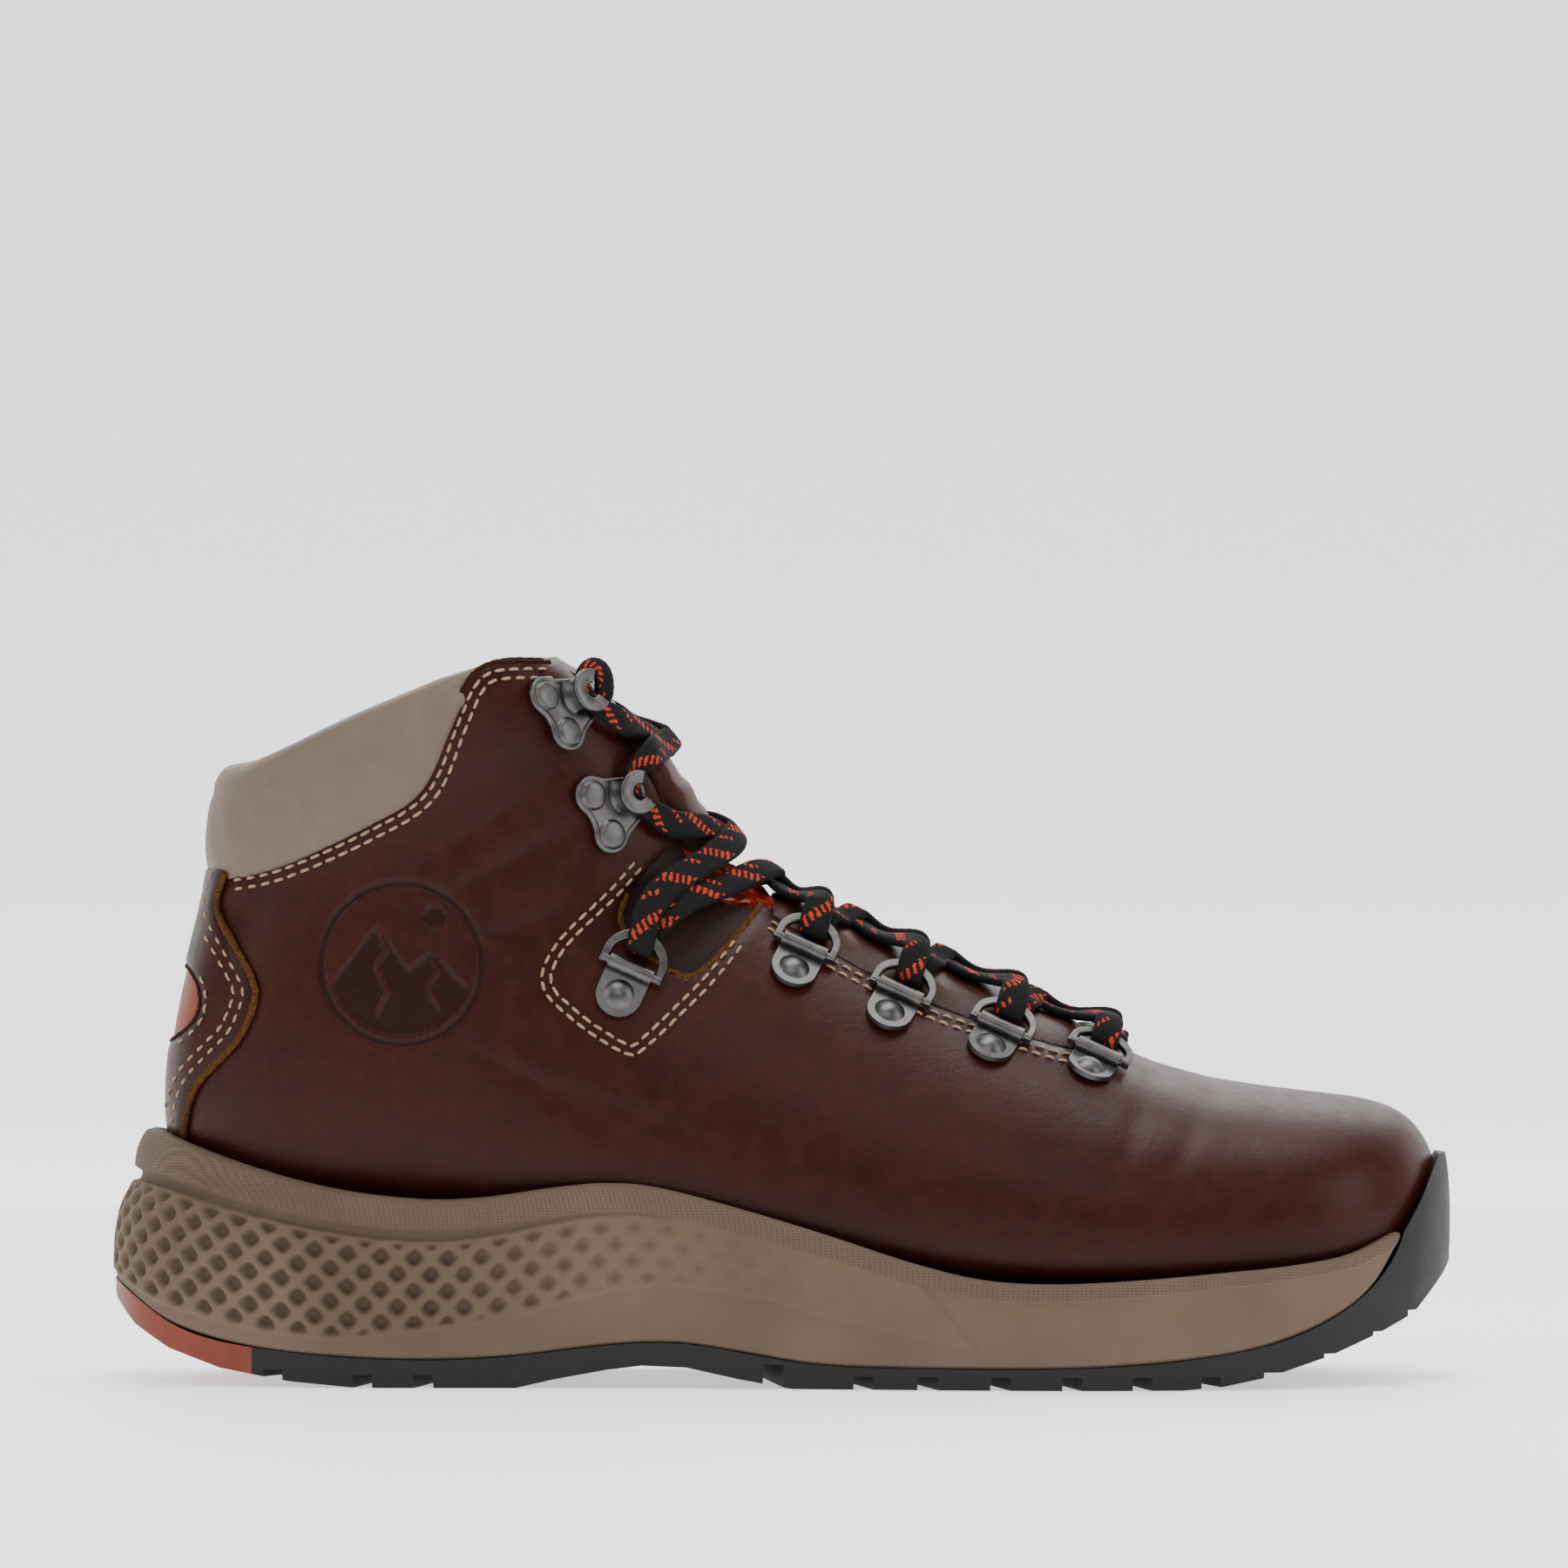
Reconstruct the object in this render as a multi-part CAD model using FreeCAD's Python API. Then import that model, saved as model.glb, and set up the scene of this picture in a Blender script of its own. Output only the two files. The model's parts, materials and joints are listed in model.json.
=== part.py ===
"""Mid-height leather hiking boot for a right foot, in millimetres.

Frame: +X runs from heel to toe, +Y towards the inner side of the foot, +Z up. The origin lies on
the ground under the middle of the bounding box. The upper is lasted: its surface is a fan of
sections, upright at the toe and nearly level at the collar. Depths are measured inwards from it.
"""
import FreeCAD, Part
import math
import os

V = FreeCAD.Vector
OUTER, INNER = -1, 1
SIDES = (("outer", OUTER), ("inner", INNER))

# ---------------------------------------------------------------- driving dimensions
LEATHER = 1.8               # thickness of the upper leather
STIFFENER = (1.85, 2.95)    # depths of the counter, toe puff, board and flex patches
LINING = (3.0, 4.2)         # depths of the lining
GUSSET = (4.25, 5.2)        # depths of the knitted gusset
TONGUE = (5.3, 11.0)        # depths of the tongue where it runs under the quarters
TONGUE_CROWN = 0.4          # depth of the tongue in the open throat
COLLAR_DEPTH = 11.0
INSTEP_DEPTH = 5.2
PANEL_OVER = 1.4            # height of the heel panel above the quarter
FOOTBED_DEPTH = 4.3
FOOTBED_THICK = 5.0
BOARD_INSET = 14.0          # the insole board's edge, inwards from the sole's outline
BOARD_ZONE_RISE = 6.0       # height of the zone where the board closes the upper's bottom
PANEL_FOOT_RISE = 31.0      # height of the heel panel's lower edge above the last's bottom
SHANK = (16.0, 1.6)         # width and thickness of the arch shank
GROOVE = (4.4, 3.0)         # width and depth of the tread grooves

BARREL_LENGTH = 10.7
BARREL_RADIUS = 1.75
BARREL_HEIGHT = 1.9         # height of the barrel's axis above the leather
BORE_RADIUS = 1.05
BAR_RADIUS = 1.0            # straight bar of a D-ring, running in the barrel's bore
RING_BOW = (7.6, 7.0)       # half width and rise of the D-ring's bow, outside
RING_HOLE = (5.8, 4.5)      # the same inside
RING_LEG = 2.2              # length of the straight legs
RING_THICK = 1.5
RING_CLEARANCE = 0.3        # room between a D-ring and the lace
RING_TILT = 8.0             # degrees that the lace under the ring lifts it off the leather
PLATE = (-0.2, 1.0)         # bottom and top of a pressed plate, from the leather's surface
CLIP_RADIUS = 5.3           # round end of a clip, about its rivet
RIVET_PITCH = 6.4           # from barrel to rivet
CAP_RADIUS = 3.55
CAP_RISE = 1.5
SHANK_RADIUS = 1.3
RIVET_BACK = (3.1, 1.85, 2.9)   # radius and depths of the rivet's washer behind the leather
HOOK_CAP_RADIUS = 3.25
HOOK_PLATE_RADIUS = 4.6
HOOK_FOOT_RADIUS = 4.0      # plate under the washer
HOOK_NECK = (1.3, 7.0)      # thickness and width of the neck between plate and washer
HOOK_MOUTH_TURN = 25.0      # degrees that the mouth is turned towards the collar
HOOK_WASHER = (5.4, 1.9)    # outer and inner radius of the open washer
HOOK_MOUTH = 3.0            # width of its mouth
HOOK_LEVELS = (3.9, 5.1)    # bottom and top of the washer above the leather
LACE_WIDTH = 6.4
LACE_THICK = 1.7
LACE_UNDER = 0.95           # height of the lace's middle where it lies on the leather
LACE_OVER = 4.9             # height where it passes over a ring or another strand
LACE_RISES = (1.4, 1.8, 2.2, 3.6, 4.4)  # heights over the ridge, of bars, under and over strands
STRAND_STEPS = 12           # spans in one strand of the lace

# The last, from the toe tip to the collar. Each row holds the section's lower or rear end and its
# ridge or front end as x and z, the half widths outwards and inwards, the centre line's y, the
# place of the widest point along the section, and the powers of its lower and upper curve.
LAST = [
    (149.2, 35.0, 149.5, 49.6, 10.5, 11.0, 7.5, 0.47, 2.3, 2.0),
    (146.8, 30.5, 147.2, 55.2, 18.5, 19.5, 7.4, 0.44, 2.7, 2.0),
    (142.5, 27.0, 143.0, 60.0, 27.0, 28.0, 7.2, 0.40, 3.1, 2.0),
    (135.0, 24.3, 135.7, 63.4, 35.2, 35.0, 6.8, 0.37, 3.4, 2.0),
    (124.0, 21.8, 125.9, 65.1, 42.0, 40.2, 6.2, 0.34, 3.7, 2.0),
    (108.0, 19.8, 111.7, 66.8, 47.2, 43.8, 5.4, 0.32, 3.8, 1.98),
    (88.0, 18.8, 95.7, 69.6, 50.6, 46.4, 4.4, 0.31, 3.8, 1.95),
    (66.0, 18.8, 79.7, 74.8, 51.8, 47.2, 3.4, 0.30, 3.8, 1.92),
    (42.0, 19.6, 58.7, 84.4, 50.0, 46.0, 2.6, 0.30, 3.7, 1.88),
    (18.0, 21.6, 37.7, 93.8, 46.3, 43.0, 2.0, 0.30, 3.5, 1.86),
    (-8.0, 24.3, 15.7, 103.6, 42.3, 39.5, 1.6, 0.31, 3.3, 1.86),
    (-36.0, 27.4, -1.7, 111.6, 39.2, 37.0, 1.2, 0.34, 3.2, 1.88),
    (-66.0, 29.8, -9.6, 117.0, 37.4, 36.2, 1.0, 0.38, 3.1, 1.92),
    (-98.0, 31.3, -15.2, 122.2, 36.6, 36.0, 0.8, 0.42, 2.9, 1.95),
    (-124.0, 35.6, -19.2, 128.2, 36.4, 36.0, 0.6, 0.44, 2.6, 2.0),
    (-137.4, 48.0, -23.0, 134.4, 36.0, 35.8, 0.5, 0.45, 2.3, 2.2),
    (-140.7, 64.0, -27.2, 140.2, 35.4, 35.4, 0.5, 0.45, 2.2, 2.5),
    (-138.9, 82.0, -31.8, 146.0, 34.8, 34.8, 0.5, 0.45, 2.2, 2.9),
    (-135.0, 99.5, -37.2, 152.0, 35.0, 35.0, 0.5, 0.45, 2.2, 3.2),
    (-131.4, 116.5, -43.0, 158.4, 36.4, 36.4, 0.5, 0.46, 2.2, 3.4),
    (-131.0, 132.5, -49.4, 165.4, 37.6, 37.6, 0.5, 0.47, 2.2, 3.4),
    (-130.6, 150.0, -56.0, 173.6, 38.2, 38.2, 0.5, 0.48, 2.2, 3.4),
]
SECTION_STEPS = 14

# Plan outline of the sole unit: x, outer half width and inner half width.
SOLE_PLAN = [
    (-149.0, 16.0, 16.5), (-141.0, 26.0, 26.5), (-128.0, 34.0, 34.0), (-110.0, 39.4, 39.2),
    (-85.0, 41.6, 40.8), (-50.0, 41.8, 39.4), (-15.0, 43.6, 40.2), (20.0, 47.8, 44.2),
    (48.0, 51.6, 48.6), (70.0, 52.8, 51.6), (90.0, 51.4, 52.4), (110.0, 46.6, 49.8),
    (127.0, 38.4, 43.8), (139.5, 27.8, 36.0), (148.5, 14.2, 24.8),
]
SOLE_BACK_Y, SOLE_FRONT_Y = 0.5, 6.5
# Horizontal slices of the sole unit: height, rear end, front end and change of half width.
SOLE_SLICES = [
    (-1.0, -151.6, 151.2, -2.6), (8.0, -152.6, 151.8, -1.0), (18.0, -153.3, 152.6, 0.2),
    (28.0, -153.4, 153.1, 0.6), (36.0, -152.7, 153.3, 0.2), (42.4, -150.6, 153.2, -0.9),
    (46.8, -148.4, 152.9, -2.2), (52.0, -147.6, 152.2, -3.2), (60.0, -143.0, 150.4, -5.2),
]

# Side profiles as x and z.
FEATHER_LINE = [
    (-158.0, 58.5), (-143.3, 56.8), (-120.3, 49.4), (-100.3, 44.8), (-82.3, 42.8), (-68.3, 43.2),
    (-52.3, 45.4), (-40.3, 46.4), (-28.3, 45.4), (-10.3, 40.8), (9.7, 34.8), (29.7, 28.4),
    (45.7, 24.8), (61.7, 24.0), (79.7, 24.8), (99.7, 26.4), (115.7, 27.8), (129.7, 30.0),
    (141.3, 34.8),
]
MIDSOLE_BOTTOM = [
    (-158.0, 25.0), (-153.3, 23.0), (-140.3, 14.4), (-120.3, 9.0), (-100.3, 7.0), (-80.3, 6.4),
    (-60.3, 7.4), (-44.3, 9.4), (-32.3, 10.4), (-22.3, 10.2), (-10.3, 8.4), (5.7, 5.8),
    (19.7, 5.0), (39.7, 4.8), (69.7, 5.2), (95.7, 7.4), (109.7, 10.0), (123.7, 15.4),
    (133.7, 22.6), (141.3, 34.8),
]
TOE_BUMPER_EDGE = [(141.3, 34.8), (145.3, 41.4), (148.3, 47.6), (150.2, 51.6)]
OUTSOLE_BOTTOM = [
    (-158.0, 24.0), (-152.9, 18.4), (-148.3, 13.4), (-140.3, 8.4), (-128.3, 4.2), (-112.3, 1.4),
    (-97.0, 0.0), (-61.0, 0.0), (-52.3, 2.0), (-40.3, 4.2), (-32.3, 5.2), (-22.3, 4.8),
    (-10.3, 2.2), (2.0, 0.0), (90.0, 0.0), (99.7, 0.8), (109.7, 2.8), (123.7, 7.2),
    (135.7, 12.2), (143.7, 16.2), (151.0, 24.4), (158.0, 34.0),
]
HEEL_SPLIT_X = -120.9
TREAD_GROOVES = [-108.0, -87.0, -73.0, -12.0, 8.0, 22.0, 38.0, 54.0, 70.0, 86.0, 101.0, 116.0,
                 129.0, 139.0]

# Lengthwise grooves: from x, to x, and distance from the middle.
TREAD_RUNS = [(-108.0, -70.0, 17.0), (-6.0, 36.0, 15.0), (36.0, 86.0, 19.0), (86.0, 118.0, 15.0)]

# Outlines of the upper's pieces, seen from the side.
COLLAR_EDGE = [(-140.0, 115.6), (-127.3, 116.4), (-114.3, 119.4), (-94.3, 128.4), (-82.3, 136.4),
               (-74.3, 148.4), (-71.3, 158.4), (-66.3, 165.0)]
TOP_LINE = [(-140.0, 141.0), (-129.3, 140.6), (-120.3, 142.8), (-68.3, 164.0), (-66.3, 165.0),
            (-48.3, 165.2), (-30.0, 165.2)]
QUARTER_FRONT = [(-42.3, 162.8), (-35.7, 153.2), (-27.1, 132.2), (-25.1, 123.2), (-31.7, 116.4),
                 (-36.3, 110.4), (-36.9, 104.8), (-31.3, 98.4), (-24.1, 93.8), (-18.9, 94.6),
                 (-9.1, 104.4), (-3.5, 110.4)]
THROAT = [(10.5, 104.0), (20.5, 180.0)]     # half width of the open throat at two heights
THROAT_MIDDLE = 0.6
FACING = [(-2.5, 106.8), (12.3, 97.6), (32.3, 87.4), (42.5, 83.6), (55.9, 79.2), (66.3, 76.4),
          (78.0, 76.0)]
TONGUE_TOP = [(-70.0, 168.6), (-48.0, 167.0), (-30.0, 166.0)]
TONGUE_FOOT = [(30.0, 150.0), (-6.0, 111.6), (-34.0, 111.6), (-48.0, 140.0), (-70.0, 158.0)]
FLEX_PATCH = [(-29.1, 124.4), (-44.3, 108.2), (-54.7, 94.6), (-54.3, 90.2), (-35.1, 75.8),
              (-32.5, 76.4), (-16.1, 92.0), (-3.9, 107.4), (-8.0, 108.4), (-16.0, 109.2),
              (-22.4, 118.0)]
GUSSET_ZONE = [(-30.0, 128.0), (-38.0, 108.0), (-26.0, 88.0), (-10.0, 90.0), (6.0, 100.0),
               (10.0, 112.0), (-10.0, 130.0)]
HEEL_PANEL = [(-150.0, 117.2), (-126.9, 117.2), (-128.6, 108.4), (-124.9, 100.2), (-120.5, 91.4),
              (-120.5, 85.6), (-123.5, 79.4), (-133.7, 67.8), (-136.2, 60.4), (-137.0, 50.0),
              (-150.0, 50.0)]
HEEL_WINDOW = [(-150.0, 97.0), (-137.1, 95.8), (-134.0, 92.6), (-132.4, 88.6), (-132.7, 84.6),
               (-134.7, 81.2), (-140.5, 76.4), (-150.0, 74.0)]
COUNTER_ZONE = [(-150.0, 40.0), (-70.0, 28.0), (-78.0, 60.0), (-100.0, 92.0), (-150.0, 96.0)]
PUFF_ZONE = [(118.0, 20.0), (160.0, 20.0), (160.0, 80.0), (128.0, 80.0)]

# Fittings on the outer side: middle of the barrel, the plate's rivet, both as x and z.
CLIPS = [((-35.1, 94.4), (-38.7, 88.6)), ((4.2, 98.4), (0.9, 93.0)), ((26.1, 88.2), (23.7, 82.6)),
         ((49.0, 80.0), (47.7, 74.8)), ((71.2, 73.9), (69.7, 69.4))]
BARREL_SLOPE = (8.2, -3.7)
# Upper and lower hook: two rivets and the middle of the round washer, as x and z.
HOOKS = {"upper": ((-54.7, 156.8), (-50.1, 148.2), (-43.0, 157.0)),
         "lower": ((-43.9, 134.2), (-39.3, 125.2), (-32.5, 134.6))}


# ---------------------------------------------------------------- the last's surface
def unit(x, z):
    length = math.hypot(x, z) or 1.0
    return x / length, z / length


def inset_last(depth):
    """The rows of the last, moved inwards by a depth."""
    rows = []
    for i, row in enumerate(LAST):
        before, after = LAST[max(i - 1, 0)], LAST[min(i + 1, len(LAST) - 1)]
        rear = unit(after[1] - before[1], before[0] - after[0])
        ridge = unit(before[3] - after[3], after[2] - before[2])
        plan = unit(after[4] - before[4], (before[0] + before[2] - after[0] - after[2]) / 2)
        narrow = depth * abs(plan[1]) if row[0] > 100 else depth
        widths = [max(width - narrow, 0.8) for width in row[4:6]]
        rows.append((row[0] + rear[0] * depth, row[1] + rear[1] * depth,
                     row[2] + ridge[0] * depth, row[3] + ridge[1] * depth, *widths, *row[6:]))
    return rows


def half_section(t, widest, low, high):
    """Width at a place along the section, as a share of the widest."""
    if t < widest:
        share, power = (widest - t) / widest, low
    else:
        share, power = (t - widest) / (1 - widest), high
    return max(1 - share ** power, 0.0) ** (1 / power)


def section_wire(row):
    x0, z0, x1, z1, outer, inner, middle, widest, low, high = row
    points = []
    for i in range(2 * SECTION_STEPS):
        turn = math.pi * i / SECTION_STEPS
        t = (1 - math.cos(turn)) / 2
        width = inner if turn < math.pi else outer
        y = middle + math.copysign(width * half_section(t, widest, low, high), math.sin(turn))
        points.append(V(x0 + (x1 - x0) * t, y, z0 + (z1 - z0) * t))
    curve = Part.BSplineCurve()
    steps = [float(i) for i in range(len(points) + 1)]
    curve.interpolate(Points=points, PeriodicFlag=True, Parameters=steps)
    return Part.Wire(curve.toShape())


def last_solid(depth):
    return Part.makeLoft([section_wire(row) for row in inset_last(depth)], True, False)


def surface_y(x, z, side):
    """The y of the last's surface at a place seen from the side."""
    place, t = find_section(x, z)
    row = blended_row(place)
    width = row[4] if side == OUTER else row[5]
    return row[6] + side * width * half_section(t, *row[7:])


def ahead(row, x, z):
    """Positive where a point lies on the collar's side of a section's line."""
    return (row[2] - row[0]) * (z - row[1]) - (row[3] - row[1]) * (x - row[0])


def surface_frame(x, z, side, along):
    """A placement on the surface: x along a direction, y towards the ridge and z outwards."""
    step = 1.5
    origin = V(x, surface_y(x, z, side), z)
    slope_x = (surface_y(x + step, z, side) - surface_y(x - step, z, side)) / (2 * step)
    slope_z = (surface_y(x, z + step, side) - surface_y(x, z - step, side)) / (2 * step)
    normal = V(-slope_x * side, side, -slope_z * side).normalize()
    tangent = V(along[0], slope_x * along[0] + slope_z * along[1], along[1]).normalize()
    if side == INNER:
        tangent = tangent * -1
    return FreeCAD.Placement(origin, FreeCAD.Rotation(tangent, normal.cross(tangent), normal, "ZXY"))


def find_section(x, z):
    """The place of a side-view point on the fan, as a row number with its share, and the height
    along the section."""
    for i, (lower, upper) in enumerate(zip(LAST, LAST[1:])):
        if ahead(upper, x, z) <= 0:
            low, high = ahead(lower, x, z), ahead(upper, x, z)
            share = low / (low - high)
            row = blended_row(i + share)
            run = math.hypot(row[2] - row[0], row[3] - row[1])
            t = ((x - row[0]) * (row[2] - row[0]) + (z - row[1]) * (row[3] - row[1])) / run ** 2
            return i + share, min(max(t, 0.0), 1.0)
    return float(len(LAST) - 1), 1.0


def blended_row(place):
    """The row of the last at a fractional row number."""
    i = min(max(int(place), 0), len(LAST) - 2)
    share = place - i
    return [a + (b - a) * share for a, b in zip(LAST[i], LAST[i + 1])]


def surface_point(place, around):
    """A point by its section and its angle about the ridge, in degrees, outer side negative."""
    row = blended_row(place)
    t = (1 + math.cos(math.radians(around))) / 2
    width = row[4] if around < 0 else row[5]
    y = row[6] + math.copysign(width * half_section(t, *row[7:]), around)
    return V(row[0] + (row[2] - row[0]) * t, y, row[1] + (row[3] - row[1]) * t)


def surface_normal(place, around):
    step = 2.0
    across = surface_point(place, around + step) - surface_point(place, around - step)
    along = surface_point(place + 0.1, around) - surface_point(place - 0.1, around)
    normal = across.cross(along).normalize()
    outward = surface_point(place, around) - V(*[blended_row(place)[i] for i in (0, 6, 1)])
    return normal if normal.dot(outward) > 0 else normal * -1


# ---------------------------------------------------------------- building blocks
def spline(points, closed=False):
    curve = Part.BSplineCurve()
    curve.interpolate([V(*point) for point in points], PeriodicFlag=closed)
    return curve.toShape()


def extruded(edges, half=90.0):
    """A solid with an outline in the side plane, running right across the boot."""
    face = Part.Face(Part.Wire(Part.__sortEdges__(edges)))
    face.translate(V(0, -half, 0))
    return face.extrude(V(0, 2 * half, 0))


def side_points(points):
    return [V(x, 0, z) for x, z in points]


def polygon_prism(points, half=90.0):
    corners = side_points(points)
    edges = [Part.LineSegment(a, b).toShape() for a, b in zip(corners, corners[1:] + corners[:1])]
    return extruded(edges, half)


def curve_prism(curve_points, corners, half=90.0):
    """A prism bounded by a smooth curve and by straight lines through the other corners."""
    curve = spline([(x, 0, z) for x, z in curve_points])
    ends = side_points([curve_points[-1], *corners, curve_points[0]])
    lines = [Part.LineSegment(a, b).toShape() for a, b in zip(ends, ends[1:])]
    return extruded([curve, *lines], half)


def half_space(side):
    """Everything on one side of the boot's middle."""
    return Part.makeBox(400, 90, 250, V(-200, -90 if side == OUTER else 0, -20))


def shell_between(depths):
    return last_solid(depths[0]).cut(last_solid(depths[1]))


def solids_only(shape):
    pieces = sorted(shape.Solids, key=lambda solid: -solid.Volume)
    keep = [solid for solid in pieces if solid.Volume > 1.0]
    return keep[0] if len(keep) == 1 else Part.Compound(keep)


# ---------------------------------------------------------------- the sole unit
def sole_slice(height, rear, front, change):
    points = [(rear, SOLE_BACK_Y, height)]
    _, plan_rear, plan_front, _ = SOLE_SLICES[3]
    stretch = (front - rear) / (plan_front - plan_rear)
    for x, outer, _ in SOLE_PLAN:
        points.append((rear + (x - plan_rear) * stretch, -outer - change, height))
    points.append((front, SOLE_FRONT_Y, height))
    for x, _, inner in reversed(SOLE_PLAN):
        points.append((rear + (x - plan_rear) * stretch, inner + change, height))
    curve = Part.BSplineCurve()
    steps = [float(i) for i in range(len(points) + 1)]
    curve.interpolate(Points=[V(*point) for point in points], PeriodicFlag=True, Parameters=steps)
    return Part.Wire(curve.toShape())


def sole_block():
    return Part.makeLoft([sole_slice(*row) for row in SOLE_SLICES], True, False)


def below_midsole():
    """The space under the midsole, with the bumper's space in front of the toe."""
    return curve_prism(MIDSOLE_BOTTOM, [*TOE_BUMPER_EDGE[1:], (158, 51.6), (158, -10), (-158, -10)])


def tread_cutter():
    """Zigzag grooves across the tread, and one along it on each side."""
    width, depth = GROOVE
    cutters = []
    for x in TREAD_GROOVES:
        for side in (OUTER, INNER):
            floor = outsole_floor(x) + depth
            box = Part.makeBox(width, 70, floor + 10, V(-width / 2, 4, -10))
            box.rotate(V(0, 0, 0), V(0, 0, 1), 12 * side if x < -20 else -12 * side)
            if side == OUTER:
                box.rotate(V(0, 0, 0), V(0, 0, 1), 180)
            box.translate(V(x, 2, 0))
            cutters.append(box)
    for side in (OUTER, INNER):
        for x0, x1, y in TREAD_RUNS:
            floor = max(outsole_floor(x0), outsole_floor(x1)) + depth * 0.7
            box = Part.makeBox(x1 - x0, width * 0.7, floor + 10, V(x0, side * y + 1, -10))
            cutters.append(box)
    return Part.makeCompound(cutters)


def outsole_floor(x):
    for (x0, z0), (x1, z1) in zip(OUTSOLE_BOTTOM, OUTSOLE_BOTTOM[1:]):
        if x0 <= x <= x1:
            return z0 + (z1 - z0) * (x - x0) / (x1 - x0)
    return 0.0


def shank_solid():
    """A curved steel strip under the arch, let into the top of the midsole."""
    width, thick = SHANK
    rows = [row for row in inset_last(-1.2) if -100 < row[0] < 45]
    top = [(row[0], 0, row[1]) for row in rows]
    low = [(x, 0, z - thick) for x, _, z in top]
    edges = [spline(top), spline(low)]
    edges += [Part.LineSegment(V(*top[i]), V(*low[i])).toShape() for i in (0, -1)]
    return extruded(edges, width / 2)


def make_sole(upper_body):
    block = sole_block()
    under = below_midsole()
    top_cut = curve_prism(FEATHER_LINE, [(160, 34.8), (160, 100), (-158, 100)])
    shank = shank_solid()
    ground = polygon_prism([*OUTSOLE_BOTTOM, (158, -10), (-158, -10)])
    rubber = block.common(under).cut(ground).cut(upper_body)
    heel_box = Part.makeBox(60, 200, 60, V(HEEL_SPLIT_X - 60, -100, -10))
    outsole = rubber.cut(heel_box).cut(tread_cutter())
    heel = rubber.common(heel_box)
    midsole = block.cut(under).cut(top_cut).cut(upper_body).cut(shank)
    return {"outsole": outsole, "outsole_heel": heel, "midsole": midsole, "shank": shank}


# ---------------------------------------------------------------- the upper
def throat_prism():
    """The opening along the ridge, from the front edge of one quarter round to the facing."""
    points = [(-42.3, 175.0), *QUARTER_FRONT, *FACING, (81.0, 82.0), (20.0, 130.0), (-20.0, 175.0)]
    return polygon_prism(points).fuse(front_wedge(0.0))


def front_wedge(margin):
    """The throat between the quarters above the ankle's bend, as it is seen from the front."""
    corners = []
    for side, (half, z) in ((1, THROAT[0]), (1, THROAT[1]), (-1, THROAT[1]), (-1, THROAT[0])):
        corners.append(V(-66, THROAT_MIDDLE + side * (half + margin), z))
    return Part.Face(Part.makePolygon([*corners, corners[0]])).extrude(V(120, 0, 0))


def collar_prism():
    return polygon_prism([*COLLAR_EDGE, (-66.3, 176.0), (-160.0, 176.0), (-160.0, 115.6)])


def above_top_line():
    return polygon_prism([*TOP_LINE, (0.0, 176.0), (0.0, 190.0), (-160.0, 190.0), (-160.0, 141.0)])


def board_prism():
    """The board's plan outline: the sole's outline, narrowed to the lasted edge."""
    points = [(x, -outer + BOARD_INSET, 0) for x, outer, _ in SOLE_PLAN[1:-2]]
    points += [(x, inner - BOARD_INSET, 0) for x, _, inner in reversed(SOLE_PLAN[1:-2])]
    wire = Part.Wire(spline(points, closed=True))
    return Part.Face(wire).extrude(V(0, 0, 60))


def low_zone(rise):
    """The space near the bottom of the last, up to a rise above it."""
    rows = [row for row in LAST if row[0] > -125]
    points = [(row[0], row[1] + rise) for row in rows]
    return polygon_prism([(160, points[0][1]), *points, (-160, points[-1][1]), (-160, 0), (160, 0)])


def make_upper():
    nodes = {}
    outside = last_solid(0)
    throat, collar, above = throat_prism(), collar_prism(), above_top_line()
    board_zone = board_prism().common(low_zone(BOARD_ZONE_RISE))
    panel, window = polygon_prism(HEEL_PANEL), polygon_prism(HEEL_WINDOW)

    leather = outside.cut(last_solid(LEATHER)).cut(throat).cut(collar).cut(above)
    nodes["upper_leather"] = leather.cut(board_zone)
    stiffener = shell_between(STIFFENER)
    nodes["insole_board"] = last_solid(0.4).cut(last_solid(STIFFENER[1])).common(board_zone)
    nodes["heel_counter"] = stiffener.common(polygon_prism(COUNTER_ZONE)).cut(board_zone)
    nodes["toe_puff"] = stiffener.common(polygon_prism(PUFF_ZONE)).cut(board_zone)
    patch = stiffener.common(polygon_prism(FLEX_PATCH))
    for name, side in SIDES:
        nodes["flex_patch_" + name] = patch.common(half_space(side))
    nodes["lining"] = shell_between(LINING).cut(throat).cut(collar).cut(above)
    over = last_solid(-PANEL_OVER).cut(outside).common(panel).cut(low_zone(PANEL_FOOT_RISE))
    nodes["heel_panel"] = over.cut(window)
    nodes["heel_insert"] = last_solid(-PANEL_OVER / 2).cut(outside).common(window)
    nodes["collar_pad"] = outside.cut(last_solid(COLLAR_DEPTH)).common(collar).cut(above)
    gusset = shell_between(GUSSET).common(polygon_prism(GUSSET_ZONE))
    nodes.update(make_tongue())
    nodes["tongue_gusset"] = gusset.cut(nodes["instep_pad"])
    beside_tongue = [nodes[name] for name in ("flex_patch_outer", "flex_patch_inner", "instep_pad")]
    nodes["tongue"] = nodes["tongue"].cut([*beside_tongue, gusset])
    footbed_zone = low_zone(FOOTBED_DEPTH + FOOTBED_THICK)
    nodes["footbed"] = last_solid(FOOTBED_DEPTH).common(footbed_zone)
    return nodes


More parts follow.
